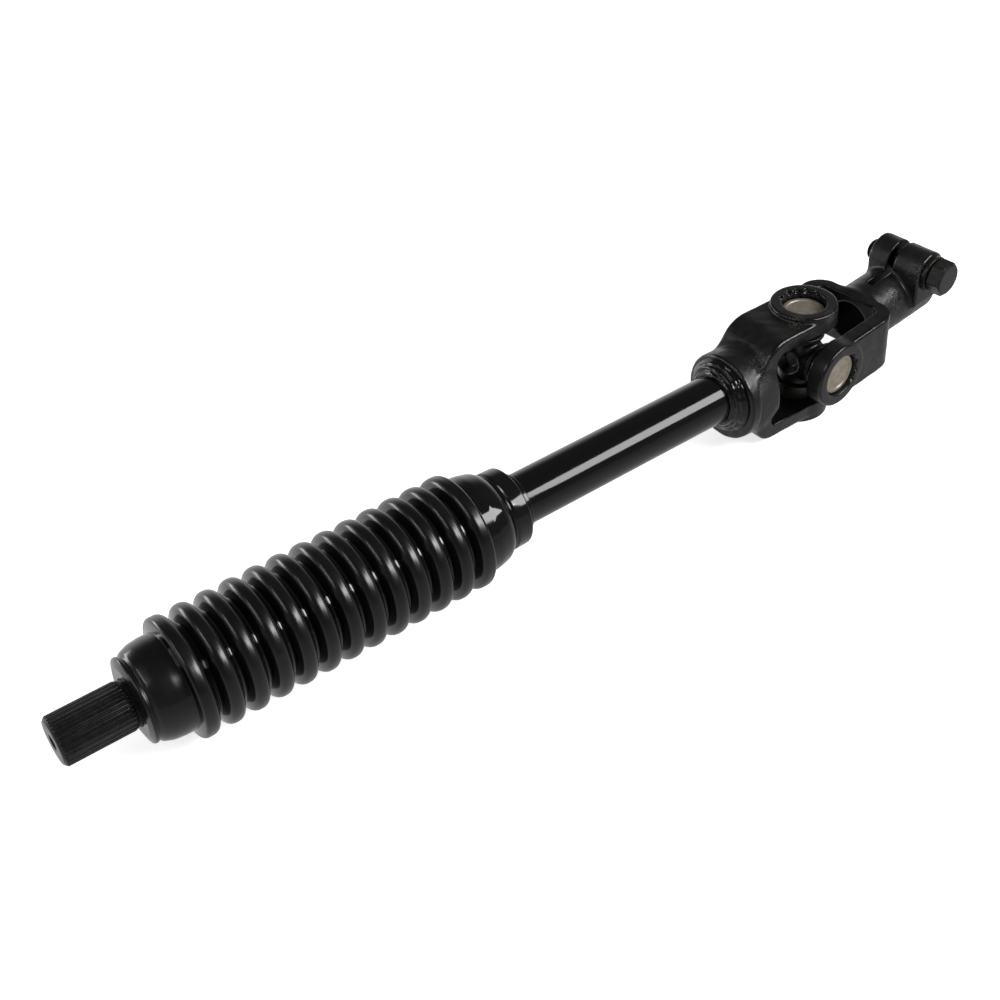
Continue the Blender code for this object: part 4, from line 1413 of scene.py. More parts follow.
    def shell(self, name: str, *profiles: Array) -> Item:
        """Turn open profiles into shells.

        Args:
            name: The object's name.
            *profiles: Rows of (station, radius) in millimetres.

        Returns:
            One object with all the shells, in local metres.
        """
        angles = np.linspace(0, FULL_TURN, self.steps, endpoint=False)[None, :]
        points: list[Sequence[float]] = []
        faces: list[tuple[int, ...]] = []
        for profile in profiles:
            station = np.repeat(profile[:, :1], self.steps, axis=1)
            rows = np.stack([station, profile[:, 1:2] * np.cos(angles),
                             profile[:, 1:2] * np.sin(angles)], axis=-1)
            faces += [tuple(k + len(points) for k in face)
                      for face in ring_faces(len(profile), self.steps, False)[:-2]]
            points += (rows.reshape(-1, 3) * MM).tolist()
        mesh = bpy.data.meshes.new(name)
        mesh.from_pydata(points, [], faces)
        return new_object(name, mesh)

    def build(self, layout: Layout, tree: Tree) -> None:
        """Make the boot in one closed shell.

        Args:
            layout: Where the sub-assemblies lie.
            tree: The tree that repeats a piece in a row.
        """
        start, _, height = layout.shaft.origin
        nose_end = start + (self.first_fold - self.crest_half - 1.5) * MM
        coat = Coat(BootRubber(axis_height=height, nose_end=nose_end))
        half, inner_valley = self.half, self.valley_radius - self.wall
        inner = soften([
            (-half, inner_valley, 0.0), (-half + 0.9, inner_valley, 0.6), *self.fold_inner(),
            (half - 0.9, inner_valley, 0.6), (half, inner_valley, 0.0)], stride=25.0)
        folds = self.shell("boot_folds", self.fold_outer(), inner)
        tree.run(folds, Count=self.folds - 2, Pitch=self.pitch * MM, Material=coat.material)
        folds.data.transform(Matrix.Translation(((self.first_fold + self.pitch) * MM, 0, 0)))
        shape = bmesh.new()
        for item in (folds, self.shell("boot_nose", self.nose()),
                     self.shell("boot_tail", self.tail())):
            shape.from_mesh(item.data)
            bpy.data.objects.remove(item)
        bmesh.ops.remove_doubles(shape, verts=shape.verts, dist=0.004 * MM)
        bmesh.ops.recalc_face_normals(shape, faces=shape.faces)
        shape.transform(Matrix.Translation(layout.shaft.origin))
        boot = new_object("bellows_boot", mesh_of(shape, "bellows_boot"), self.sharp)
        hand_over(boot, Body.UPPER, coat, "boot", ride=False)
        begin, end = (tuple(layout.shaft.lay(np.array([(x, 0.0, 0.0)]))[0])
                      for x in (self.first_fold - 1.0, self.last_fold + 1.0))
        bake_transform(boot)


@dataclass
class ShaftTube:
    """The painted tube, with its smooth outside and its plain bore."""

    radius: float = 10.84
    bore: float = 9.0
    start: float = 100.0
    end: float = 322.7
    steps: int = 160
    sharp: float = 35.0
    chamfer: float = 0.5
    bore_chamfer: float = 0.4

    def build(self, layout: Layout) -> None:
        """Make the tube and hand it over.

        Args:
            layout: Where the sub-assemblies lie.
        """
        start, end, edge, lip = self.start, self.end, self.chamfer, self.bore_chamfer
        length = np.linspace(start + 1.0, end - 1.0, 24)
        profile = np.array([
            (start, self.bore + lip), (start, self.radius - edge), (start + edge, self.radius),
            *((x, self.radius) for x in length), (end - edge, self.radius),
            (end, self.radius - edge), (end, self.bore + lip), (end - lip, self.bore),
            (start + lip, self.bore)])
        tube = turned("painted_tube", profile, self.steps, layout.shaft, loop=True,
                      sharp=self.sharp)
        hand_over(tube, Body.UPPER, Coat(GlossPaint()), "shaft_tube")


@dataclass
class WeldBead:
    """The fillet weld between the tube and the yoke's collar, laid as overlapping strokes."""

    toe: float = 308.4
    inner: float = 11.14
    width: float = 5.2
    height: float = 5.9
    strokes: int = 15
    stroke_size: Triple = (1.15, 1.15, 4.4)
    unevenness: float = 0.4
    seed: int = 7
    rows: tuple[Pair, ...] = ((4.1, 0.25), (2.8, 2.3), (1.3, 3.9), (0.0, 4.7))
    root_depth: float = 0.9
    voxel: float = 0.26
    smoothings: int = 11
    press_depth: float = 0.28
    reach_past_toe: float = 0.9

    def base(self) -> Item:
        """Make the plain fillet under the strokes.

        Returns:
            The fillet in local metres.
        """
        root, toe, width = self.inner - self.root_depth, self.toe, self.width
        profile = np.array([
            (toe - width, root), (toe - width, self.inner + 0.2),
            (toe - 0.5 * width, self.inner + 0.56 * self.height),
            (toe, self.inner + 0.84 * self.height), (toe, root)])
        return turned("weld_base", profile, 96, LOCAL, loop=True)

    def stroke(self, name: str) -> Item:
        """Make one stroke of weld, long round the tube and thin across the bead.

        Args:
            name: The object's name.

        Returns:
            The stroke in local metres, at the origin.
        """
        drop = bmesh.new()
        bmesh.ops.create_icosphere(drop, subdivisions=3, radius=1.0)
        drop.transform(Matrix.Diagonal((*(size * MM for size in self.stroke_size), 1.0)))
        return new_object(name, mesh_of(drop, name))

    def keep_clear(self, bead: Item) -> None:
        """Press the bead's points out of the tube and off the collar's face.

        Args:
            bead: The bead, in local metres.
        """
        least = (self.inner - self.press_depth) * MM
        for vertex in bead.data.vertices:
            reach = math.hypot(vertex.co.y, vertex.co.z)
            if reach < least:
                vertex.co.y *= least / reach
                vertex.co.z *= least / reach
            vertex.co.x = min(vertex.co.x, (self.toe + self.reach_past_toe) * MM)

    def build(self, layout: Layout, tree: Tree) -> None:
        """Lay the strokes on a plain fillet, fuse them and hand the bead over.

        Args:
            layout: Where the sub-assemblies lie.
            tree: The tree that lays drops of weld round the tube.
        """
        coat = Coat(GlossPaint(name="paint_over_weld", roughness=(0.05, 0.11),
                               peel_depth=0.012 * MM, peel_scale=380.0))
        pieces = [self.base()]
        for number, (back, rise) in enumerate(self.rows):
            stroke = self.stroke(f"weld_row_{number}")
            pieces.append(tree.run(
                stroke, Count=self.strokes, Radius=(self.inner + rise) * MM,
                Station=(self.toe - back) * MM, Unevenness=self.unevenness * MM,
                Seed=self.seed + number, Material=coat.material))
        shape = bmesh.new()
        for piece in pieces:
            shape.from_mesh(piece.data)
            bpy.data.objects.remove(piece)
        bead = new_object("weld_ripples", mesh_of(shape, "weld_ripples"))
        fused = bead.modifiers.new("fuse", "REMESH")
        fused.mode = "VOXEL"
        fused.voxel_size = self.voxel * MM
        bead.modifiers.new("soften", "SMOOTH").iterations = self.smoothings
        baked(bead)
        self.keep_clear(bead)
        bead.data.transform(Matrix.Translation(layout.shaft.origin))
        bead.data.shade_smooth()
        bead.data.name = bead.name
        hand_over(bead, Body.UPPER, coat, "weld_bead")


@dataclass
class TubeYoke:
    """The forged yoke that is welded to the tube."""

    half_width: float = 14.2
    ear_radius: float = 15.1
    arm_inner: float = 18.0
    arm_outer: float = 25.0
    boss_radius: float = 14.7
    boss_face: float = 27.3
    collar_radius: float = 19.8
    collar_drop: float = 1.4
    collar_start: float = 34.8
    collar_end: float = 47.8
    flat_start: float = 42.0
    floor: float = 25.4
    bore: float = 9.8
    socket: float = 11.14
    socket_depth: float = 14.3
    face_size: float = 0.5
    stakes: tuple[float, ...] = (8.0, 36.0, 61.0, 86.0, 118.0)
    stake_circle: float = 9.9
    stake_radius: float = 1.35
    stake_level: float = 26.9
    bulge_circle: float = 10.3
    bulge_radius: float = 1.1
    bulge_spread: float = 0.25
    bulge_level: float = 24.6
    bulge_turn: float = 0.16
    waves: float = 0.22
    worn: tuple[Spot, ...] = (
        (-37.0, -11.0, 18.5, 6.5), (-38.5, -15.5, 8.5, 6.5), (-13.0, -8.5, 26.0, 4.5),
        (1.5, -14.5, 26.0, 4.0))

    def outline(self) -> Array:
        """Draw the fork's outside in the plane of its arms.

        Returns:
            The points of the outline.
        """
        reach, arm = self.ear_radius + 2.0, self.arm_outer
        return soften([
            (reach, arm, 0.0), (-30.5, arm, 14.0), (-40.5, arm - 14.8, 0.0),
            (-41.5, -arm + 13.0, 0.0), (-33.5, -arm, 8.0), (reach, -arm, 0.0)],
            closed=True, stride=6.0)

    def pocket(self) -> Array:
        """Draw the space between the arms.

        Returns:
            The points of the outline.
        """
        reach, inner, floor = self.ear_radius + 4.0, self.arm_inner, self.floor
        return soften([
            (reach, -inner, 0.0), (-29.5, -inner, 2.5), (-29.5, -inner + 4.2, 1.0),
            (-floor, -inner + 8.2, 1.0), (-floor, -inner + 12.5, 5.0), (-28.6, inner - 8.5, 6.0),
            (-28.6, inner, 4.5), (reach, inner, 0.0)], closed=True, stride=8.0)

    def collar(self) -> Array:
        """Draw the collar and the shoulder behind it.

        Returns:
            The points of the outline.
        """
        start, end, radius, floor = (-self.collar_start, -self.collar_end, self.collar_radius,
                                     -self.floor - 1)
        return soften([
            (end, 0.0, 0.0), (end, radius, 1.3), (start, radius, 4.0), (floor, 15.8, 0.0),
            (floor, 0.0, 0.0), (floor, -15.8, 0.0), (start, -radius, 4.0),
            (end, -radius, 1.3)], closed=True, stride=12.0)

    def staked(self, body: Array, x: Array, y: Array, z: Array) -> Array:
        """Add the stake marks round the cups, each a nick with metal pushed out beside it.

        Args:
            body: Distances to the yoke so far.
            x: Stations along the shaft.
            y: Places across it.
            z: Heights.

        Returns:
            The new distances.
        """
        for k, turn in enumerate(self.stakes):
            angle = math.radians(turn)
            nick = spot_at(self.stake_circle, angle, self.stake_radius)
            for level in (self.stake_level, -self.stake_level):
                body = cut(body, ball(x, y, z - level, nick), 0.2)
            bulge = spot_at(self.bulge_circle, angle + self.bulge_turn,
                            self.bulge_radius + self.bulge_spread * math.sin(2.1 * k))
            for level in (self.bulge_level, -self.bulge_level):
                body = joined(body, ball(x, y, z - level, bulge), 0.3)
        return body

    def distance(self) -> Distance:
        """Put the yoke together from simple solids.

        Returns:
            The function that measures the distance to it.
        """
        outline, pocket, collar = self.outline(), self.pocket(), self.collar()

        def measure(x: Array, y: Array, z: Array) -> Array:
            """Measure the distance to the yoke.

            Args:
                x: Stations along the shaft, in local millimetres.
                y: Places across it.
                z: Heights.

            Returns:
                The distances, below zero inside.
            """
            side = np.abs(y) - self.half_width
            body = shared(outline_distance(x, z, outline), side, 1.7)
            ear = np.where(x > 0, np.hypot(x, y), np.abs(y)) - self.ear_radius
            body = shared(body, ear, 1.2)
            ring = outline_distance(x, np.hypot(y, z + self.collar_drop), collar)
            flats = joined(side, x + self.flat_start, 4.5)
            body = joined(body, shared(ring, flats, 1.4), 2.2) + forged_waves(x, y, z, self.waves)
            upright = np.hypot(x, y)
            boss = shared(upright - self.boss_radius, np.abs(z) - self.boss_face, 0.9)
            body = joined(body, boss, 0.9)
            body = cut(body, outline_distance(x, z, pocket) + 0.0 * y, 0.7)
            body = self.staked(cut(body, upright - self.bore, 0.45), x, y, z)
            socket_end = x + self.collar_end - self.socket_depth
            return cut(body, np.maximum(np.hypot(y, z) - self.socket, socket_end), 0.3)

        return measure

    def build(self, layout: Layout, coat: Coat) -> None:
        """Carve the yoke and hand it over.

        Args:
            layout: Where the sub-assemblies lie.
            coat: What it wears.
        """
        yoke = carved("forged_tube_yoke", self.distance(),
                      (-self.collar_end, -self.collar_radius, -self.boss_face),
                      (self.ear_radius, self.collar_radius, self.boss_face), self.face_size,
                      layout.joint)
        mark_wear(yoke, layout.joint, self.worn)
        hand_over(yoke, Body.UPPER, coat, "tube_yoke")


@dataclass
class ClampYoke:
    """The forged yoke with the slotted stem and its two lugs."""

    arm_inner: float = 16.0
    arm_outer: float = 23.4
    half_height: float = 13.4
    ear_radius: float = 14.8
    ear_inner: float = 15.7
    ear_face: float = 24.2
    floor: float = 34.6
    back: float = 40.0
    corner: float = 10.5
    stem_radius: float = 14.1
    stem_end: float = 80.15
    bore: float = 9.65
    ear_bore: float = 9.8
    slot_start: float = 47.5
    slot_half: float = 1.75
    slot_shift: float = 0.6
    lug_radius: float = 9.46
    lug_half: float = 14.0
    lug_shift: float = 2.4
    bolt_station: float = BOLT_STATION
    bolt_height: float = BOLT_HEIGHT
    bolt_hole: float = 5.06
    face_size: float = 0.5
    stakes: tuple[float, ...] = (46.0, 18.0, 350.0, 322.0)
    stake_circle: float = 9.7
    stake_radius: float = 1.25
    waves: float = 0.2
    worn: tuple[Spot, ...] = (
        (53.0, -11.5, 8.0, 7.0), (65.0, -14.0, 16.5, 7.5), (70.0, -15.0, 20.0, 5.0))

    def fork(self, tip: float, end: float, arm: float, corner: float, stride: float) -> Array:
        """Return one outline of the fork, seen from above.

        Args:
            tip: Station at which it is cut off on the arms' side.
            end: Station of its closed end.
            arm: How far its sides lie from the middle.
            corner: Radius of its corners.
            stride: Degrees of arc between two points.

        Returns:
            The points of the outline.
        """
        return soften([(tip, arm, 0.0), (end, arm, corner), (end, -arm, corner),
                       (tip, -arm, 0.0)], closed=True, stride=stride)

    def distance(self) -> Distance:
        """Put the yoke together from simple solids.

        Returns:
            The function that measures the distance to it.
        """
        outer = self.fork(-20.0, self.back, self.arm_outer, self.corner, 6.0)
        pocket = self.fork(-40.0, self.floor, self.arm_inner, 4.0, 9.0)
        start = (self.floor + self.back) / 2

        def measure(x: Array, y: Array, z: Array) -> Array:
            """Measure the distance to the yoke.

            Args:
                x: Stations along the shaft, in local millimetres.
                y: Places across it.
                z: Heights.

            Returns:
                The distances, below zero inside.
            """
            body = shared(outline_distance(x, y, outer), np.abs(z) - self.half_height, 1.5)
            body = shared(body, -x, 0.5)
            across = np.hypot(y, z)
            stem = shared(across - self.stem_radius,
                          np.maximum(x - self.stem_end, start - x), 0.9)
            body = joined(body, stem, 2.6)
            lug = np.hypot(x - self.bolt_station, np.maximum(z - self.bolt_height, 0.0))
            lug = np.where(z > self.bolt_height, lug, np.abs(x - self.bolt_station))
            lug = np.maximum(lug - self.lug_radius, -z)
            lug = shared(lug, np.abs(y + self.lug_shift) - self.lug_half, 1.2)
            body = joined(body, lug, 1.6) + forged_waves(x + 9.0, z, y, self.waves)
            sideways = np.hypot(x, z)
            ear = shared(sideways - self.ear_radius,
                         np.maximum(np.abs(y) - self.ear_face, self.ear_inner - np.abs(y)), 1.1)
            body = joined(body, ear, 0.8)
            body = cut(body, outline_distance(x, y, pocket) + 0.0 * z, 0.7)
            body = cut(body, np.maximum(across - self.bore, self.floor - 6.0 - x), 0.5)
            body = cut(body, np.maximum.reduce(np.broadcast_arrays(
                np.abs(y + self.slot_shift) - self.slot_half, self.slot_start - x, -z)), 0.3)
            bolt = np.hypot(x - self.bolt_station, z - self.bolt_height) - self.bolt_hole
            body = cut(cut(body, bolt, 0.4), sideways - self.ear_bore, 0.45)
            for turn in self.stakes:
                nick = spot_at(self.stake_circle, math.radians(turn), self.stake_radius)
                for level in (self.ear_face + 0.1, -self.ear_face - 0.1):
                    body = cut(body, ball(x, z, y - level, nick), 0.2)
            return body

        return measure

    def build(self, layout: Layout, coat: Coat) -> None:
        """Carve the yoke and hand it over.

        Args:
            layout: Where the sub-assemblies lie.
            coat: What it wears.
        """
        yoke = carved("forged_clamp_yoke", self.distance(),
                      (-self.ear_radius, -self.ear_face, -self.ear_radius),
                      (self.stem_end, self.ear_face, self.bolt_height + self.lug_radius),
                      self.face_size, layout.clamp)
        mark_wear(yoke, layout.clamp, self.worn)
        hand_over(yoke, Body.CLAMP, coat, "clamp_yoke")


@dataclass
class Spider:
    """The cross that joins the two yokes."""

    trunnion: float = 6.0
    shoulder_radius: float = 8.6
    shoulder: float = 11.0
    tip: float = 21.3
    hub_radius: float = 11.2
    hub_half: float = 7.4
    dish_radius: float = 5.6
    dish_depth: float = 2.4
    face_size: float = 0.42

    def distance(self) -> Distance:
        """Put the spider together from simple solids.

        Returns:
            The function that measures the distance to it.
        """
        half = self.hub_half
        hub = soften([
            (-half, 0.0, 0.0), (-half, 7.0, 1.2), (-5.2, 10.1, 2.0),
            (0.0, self.hub_radius, 8.0), (5.2, 10.1, 2.0), (half, 7.0, 1.2),
            (half, 0.0, 0.0), (half, -7.0, 0.0), (-half, -7.0, 0.0)], closed=True, stride=12.0)

        def measure(x: Array, y: Array, z: Array) -> Array:
            """Measure the distance to the spider.

            Args:
                x: Stations along the shaft, in local millimetres.
                y: Places across it.
                z: Heights.

            Returns:
                The distances, below zero inside.
            """
            body = outline_distance(x, np.hypot(y, z), hub)
            for across, along in ((np.hypot(x, y), np.abs(z)), (np.hypot(x, z), np.abs(y))):
                block = shared(across - self.shoulder_radius, along - self.shoulder, 0.5)
                pin = shared(across - self.trunnion, along - self.tip, 0.8)
                body = joined(joined(body, block, 1.4), pin, 0.4)
            dish = np.hypot(y, z) - self.dish_radius - 0.9 * (np.abs(x) - half)
            dish = np.maximum(dish * 0.74, half - self.dish_depth - np.abs(x))
            return cut(body, dish, 0.5)

        return measure

    def build(self, layout: Layout) -> None:
        """Carve the spider and hand it over.

        Args:
            layout: Where the sub-assemblies lie.
        """
        coat = Coat(OxideSteel(name="forged_dark_steel", metallic=0.2,
                               dark=(0.003, 0.003, 0.0028), light=(0.007, 0.0068, 0.0064)))
        wide, high = self.shoulder_radius, self.tip
        spider = carved("forged_spider", self.distance(), (-wide, -high, -high),
                        (wide, high, high), self.face_size, layout.cross)
        hand_over(spider, Body.CROSS, coat, "spider")


@dataclass
class Bearing:
    """One bearing of the joint: its cup, needle rollers and seal."""

    place: str
    along: Along
    body: Body
    cup_radius: float = 9.5
    face: float = 23.6
    floor: float = 2.0
    mouth: float = 13.2
    rim: float = 1.9
    dish_depth: float = 0.5
    cavity: float = 8.4
    needles: int = 19
    needle_radius: float = 1.1
    needle_circle: float = 7.16
    needle_length: float = 7.8
    needle_play: float = 0.3
    seal_radius: float = 10.3
    shoulder: float = 11.0
    seal_bore: float = 6.4

    def cup(self, placement: Placement) -> Item:
        """Make the cup with its rounded rim and shallow dish.

        Args:
            placement: Where the bearing lies, with X out along its pin.

        Returns:
            The cup.
        """
        floor, dish = self.face - self.floor, self.face - self.dish_depth
        inner = self.cup_radius - self.rim
        profile = soften([
            (floor, 0.0, 0.0), (floor, self.cavity, 0.5), (self.mouth, self.cavity, 0.2),
            (self.mouth, self.cup_radius, 0.3), (self.face, self.cup_radius, 1.0),
            (self.face, inner, 0.35), (dish, inner - 0.5, 0.35), (dish, 0.0, 0.0)], stride=15.0)
        return turned(f"bearing_cup_{self.place}", profile, 96, placement, sharp=60.0)

    def rollers(self, placement: Placement, tree: Tree, coat: Coat) -> Item:
        """Make one needle roller and repeat it round the pin.

        Args:
            placement: Where the bearing lies, with X out along its pin.
            tree: The tree that repeats a piece round X.
            coat: What the rollers wear.

        Returns:
            All the rollers as one object.
        """
        high = self.face - self.floor - self.needle_play
        low = high - self.needle_length
        profile = soften([(low, 0.0, 0.0), (low, self.needle_radius, 0.35),
                          (high, self.needle_radius, 0.35), (high, 0.0, 0.0)], stride=45.0)
        needle = turned(f"needle_rollers_{self.place}", profile, 12, LOCAL)
        needle.data.transform(Matrix.Translation((0.0, self.needle_circle * MM, 0.0)))
        tree.run(needle, Count=self.needles, Material=coat.material)
        rows = np.array(placement.axes).T
        into = Matrix([[*rows[k], placement.origin[k]] for k in range(3)] + [[0, 0, 0, 1]])
        needle.data.transform(into)
        needle.data.shade_smooth()
        return needle

    def seal(self, placement: Placement) -> Item:
        """Make the rubber seal between the cup's mouth and the spider's shoulder.

        Args:
            placement: Where the bearing lies, with X out along its pin.

        Returns:
            The seal.
        """
        low, high = self.shoulder + 0.25, self.mouth - 0.2
        profile = soften([
            (low, self.seal_bore, 0.0), (low, self.seal_radius, 0.5),
            ((low + high) / 2, self.seal_radius - 0.1, 0.2), (high, self.seal_radius, 0.4),
            (high, self.seal_bore, 0.0)], closed=True, stride=15.0)
        return turned(f"bearing_seal_{self.place}", profile, 72, placement, loop=True, sharp=60.0)

    def build(self, base: Placement, tree: Tree, steel: Coat, rubber: Coat) -> None:
        """Make the bearing's pieces and hand them over.

        Args:
            base: Where the yoke that carries it lies.
            tree: The tree that repeats a piece round X.
            steel: What the cup and the rollers wear.
            rubber: What the seal wears.
        """
        placement = base.facing(self.along)
        hand_over(self.cup(placement), self.body, steel, f"cup_{self.place}")
        hand_over(self.rollers(placement, tree, steel), self.body, steel,
                  f"needles_{self.place}")
        hand_over(self.seal(placement), self.body, rubber, f"seal_{self.place}")


@dataclass
class PinchBolt:
    """The hex bolt across the lugs, and its split washer."""

    station: float = BOLT_STATION
    height: float = BOLT_HEIGHT
    shift: float = 2.4
    radius: float = 4.76
    thread_depth: float = 0.62
    thread_pitch: float = 1.25
    lug_half: float = 14.0
    overrun: float = 4.8
    head_flats: float = 14.3
    head_height: float = 6.9
    seat_radius: float = 7.0
    seat_height: float = 0.5
    washer_radius: float = 8.3
    washer_thickness: float = 2.3
    washer_split: float = 12.0
    gap: float = 0.3
    thread_end: float = -2.0
    hex_rounding: float = 0.18
    washer_steps: int = 110
    washer_middle: float = 105.0
    washer_spread: float = 0.15

    @property
    def seat(self) -> float:
        """Return the station at which the head sits on the washer."""
        return self.lug_half + self.washer_thickness + 2 * self.gap

    @property
    def corner(self) -> float:
        """Return the radius over the hexagon's corners."""
        return self.head_flats / 2 / math.cos(math.pi / 6)

    def radius_at(self, station: Array, radius: Array, angle: Array) -> Array:
        """Give the thread and the hexagon their radius.

        Args:
            station: Distance along the bolt from the middle of the lugs.
            radius: Radius of the turned profile.
            angle: Angle round the bolt.

        Returns:
            The radius of each point.
        """
        part = (station / self.thread_pitch + angle / FULL_TURN) % 1.0
        ridge = np.abs(2.0 * part - 1.0)
        thread = self.radius - self.thread_depth * np.clip(1.25 * ridge - 0.125, 0.0, 1.0)
        threaded = (station < self.thread_end) & (radius > 1.0)
        radius = np.where(threaded, np.minimum(radius, thread), radius)
        turn = (angle + math.pi / 6) % (math.pi / 3) - math.pi / 6
        hexagon = self.head_flats / 2 / np.cos(turn)
        hexagon = np.minimum(hexagon, self.corner - self.hex_rounding)
        on_head = station > self.seat + self.seat_height - 0.01
        return np.where(on_head, np.minimum(radius, hexagon), radius)

    def bolt(self, placement: Placement) -> Item:
        """Make the bolt from its threaded end to the crown of its head.

        Args:
            placement: Where the bolt lies, with X out through its head.

        Returns:
            The bolt.
        """
        seat, corner, flat = self.seat, self.corner + 0.3, self.head_flats / 2
        head, top = seat + self.seat_height, seat + self.head_height
        end, shank = -self.lug_half - self.overrun, self.radius
        profile = np.array([
            (end, 0.0), (end, shank - 1.5), (end + 0.25, shank - 1.0),
            *((x, shank) for x in np.arange(end + 1.0, self.thread_end, 0.12)),
            (self.thread_end + 0.1, shank - 0.3), (self.thread_end + 0.5, shank), (seat, shank),
            (seat, self.seat_radius - 0.15), (seat + 0.15, self.seat_radius),
            (head, self.seat_radius), (head, self.corner), (head + 0.2, corner),
            *((x, corner) for x in np.linspace(head + 0.6, top - 2.4, 4)),
            *((top - drop, flat - 0.55 + 1.55 * drop) for drop in np.linspace(1.5, 0.12, 14)),
            (top, flat - 0.7), (top, 0.5 * flat), (top, 0.0)])
        return turned("pinch_bolt_hex", profile, 180, placement, sharp=18.0,
                      shape=self.radius_at)

    def washer(self, placement: Placement) -> Item:
        """Make the split washer as an open ring with a little helical spread.

        Args:
            placement: Where the bolt lies, with X out through its head.

        Returns:
            The washer.
        """
        bore, rim, thick = self.radius + 0.35, self.washer_radius, self.washer_thickness
        section = soften([(0.0, bore, 0.25), (0.0, rim, 0.45), (thick, rim, 0.45),
                          (thick, bore, 0.25)], closed=True, stride=30.0)
        split = math.radians(self.washer_split)
        start = math.radians(self.washer_middle) + split / 2
        points = []
        for k in range(self.washer_steps):
            share = k / (self.washer_steps - 1)
            angle = start + share * (FULL_TURN - split)
            for across, reach in section:
                station = self.lug_half + self.gap + across * 0.93 + self.washer_spread * share
                points.append((station, reach * math.cos(angle), reach * math.sin(angle)))
        faces = ring_faces(self.washer_steps, len(section), False)
        mesh = solid_mesh(placement.lay(np.array(points)), faces)
        return new_object("split_washer", mesh, sharp=50.0)

    def build(self, layout: Layout) -> None:
        """Make the bolt and the washer and hand them over.

        Args:
            layout: Where the sub-assemblies lie.
        """
        placement = layout.clamp.facing(Along.NEAR, (self.station, -self.shift, self.height))
        coat = Coat(OxideSteel(name="black_bolt_steel", metallic=0.2,
                               dark=(0.005, 0.005, 0.0048), light=(0.012, 0.0118, 0.011)))
        hand_over(self.bolt(placement), Body.CLAMP, coat, "pinch_bolt")
        hand_over(self.washer(placement), Body.CLAMP, coat, "lock_washer")


# Studio


@dataclass(frozen=True)
class Lamp:
    """A soft rectangular lamp, with its places and sizes in metres."""

    name: str
    spot: Triple
    target: Triple
    size: Pair
    radiance: float

    def hang(self) -> None:
        """Put the lamp up, pointed at its target, with the given radiance on its face."""
        data = bpy.data.lights.new(self.name, "AREA")
        data.shape = "RECTANGLE"
        data.size, data.size_y = self.size
        data.energy = self.radiance * math.pi * self.size[0] * self.size[1]
        lamp = linked(self.name, data)
        aim = Vector(self.target) - Vector(self.spot)
        turn = aim.to_track_quat("-Z", "Y").to_matrix().to_4x4()
        lamp.matrix_world = Matrix.Translation(self.spot) @ turn


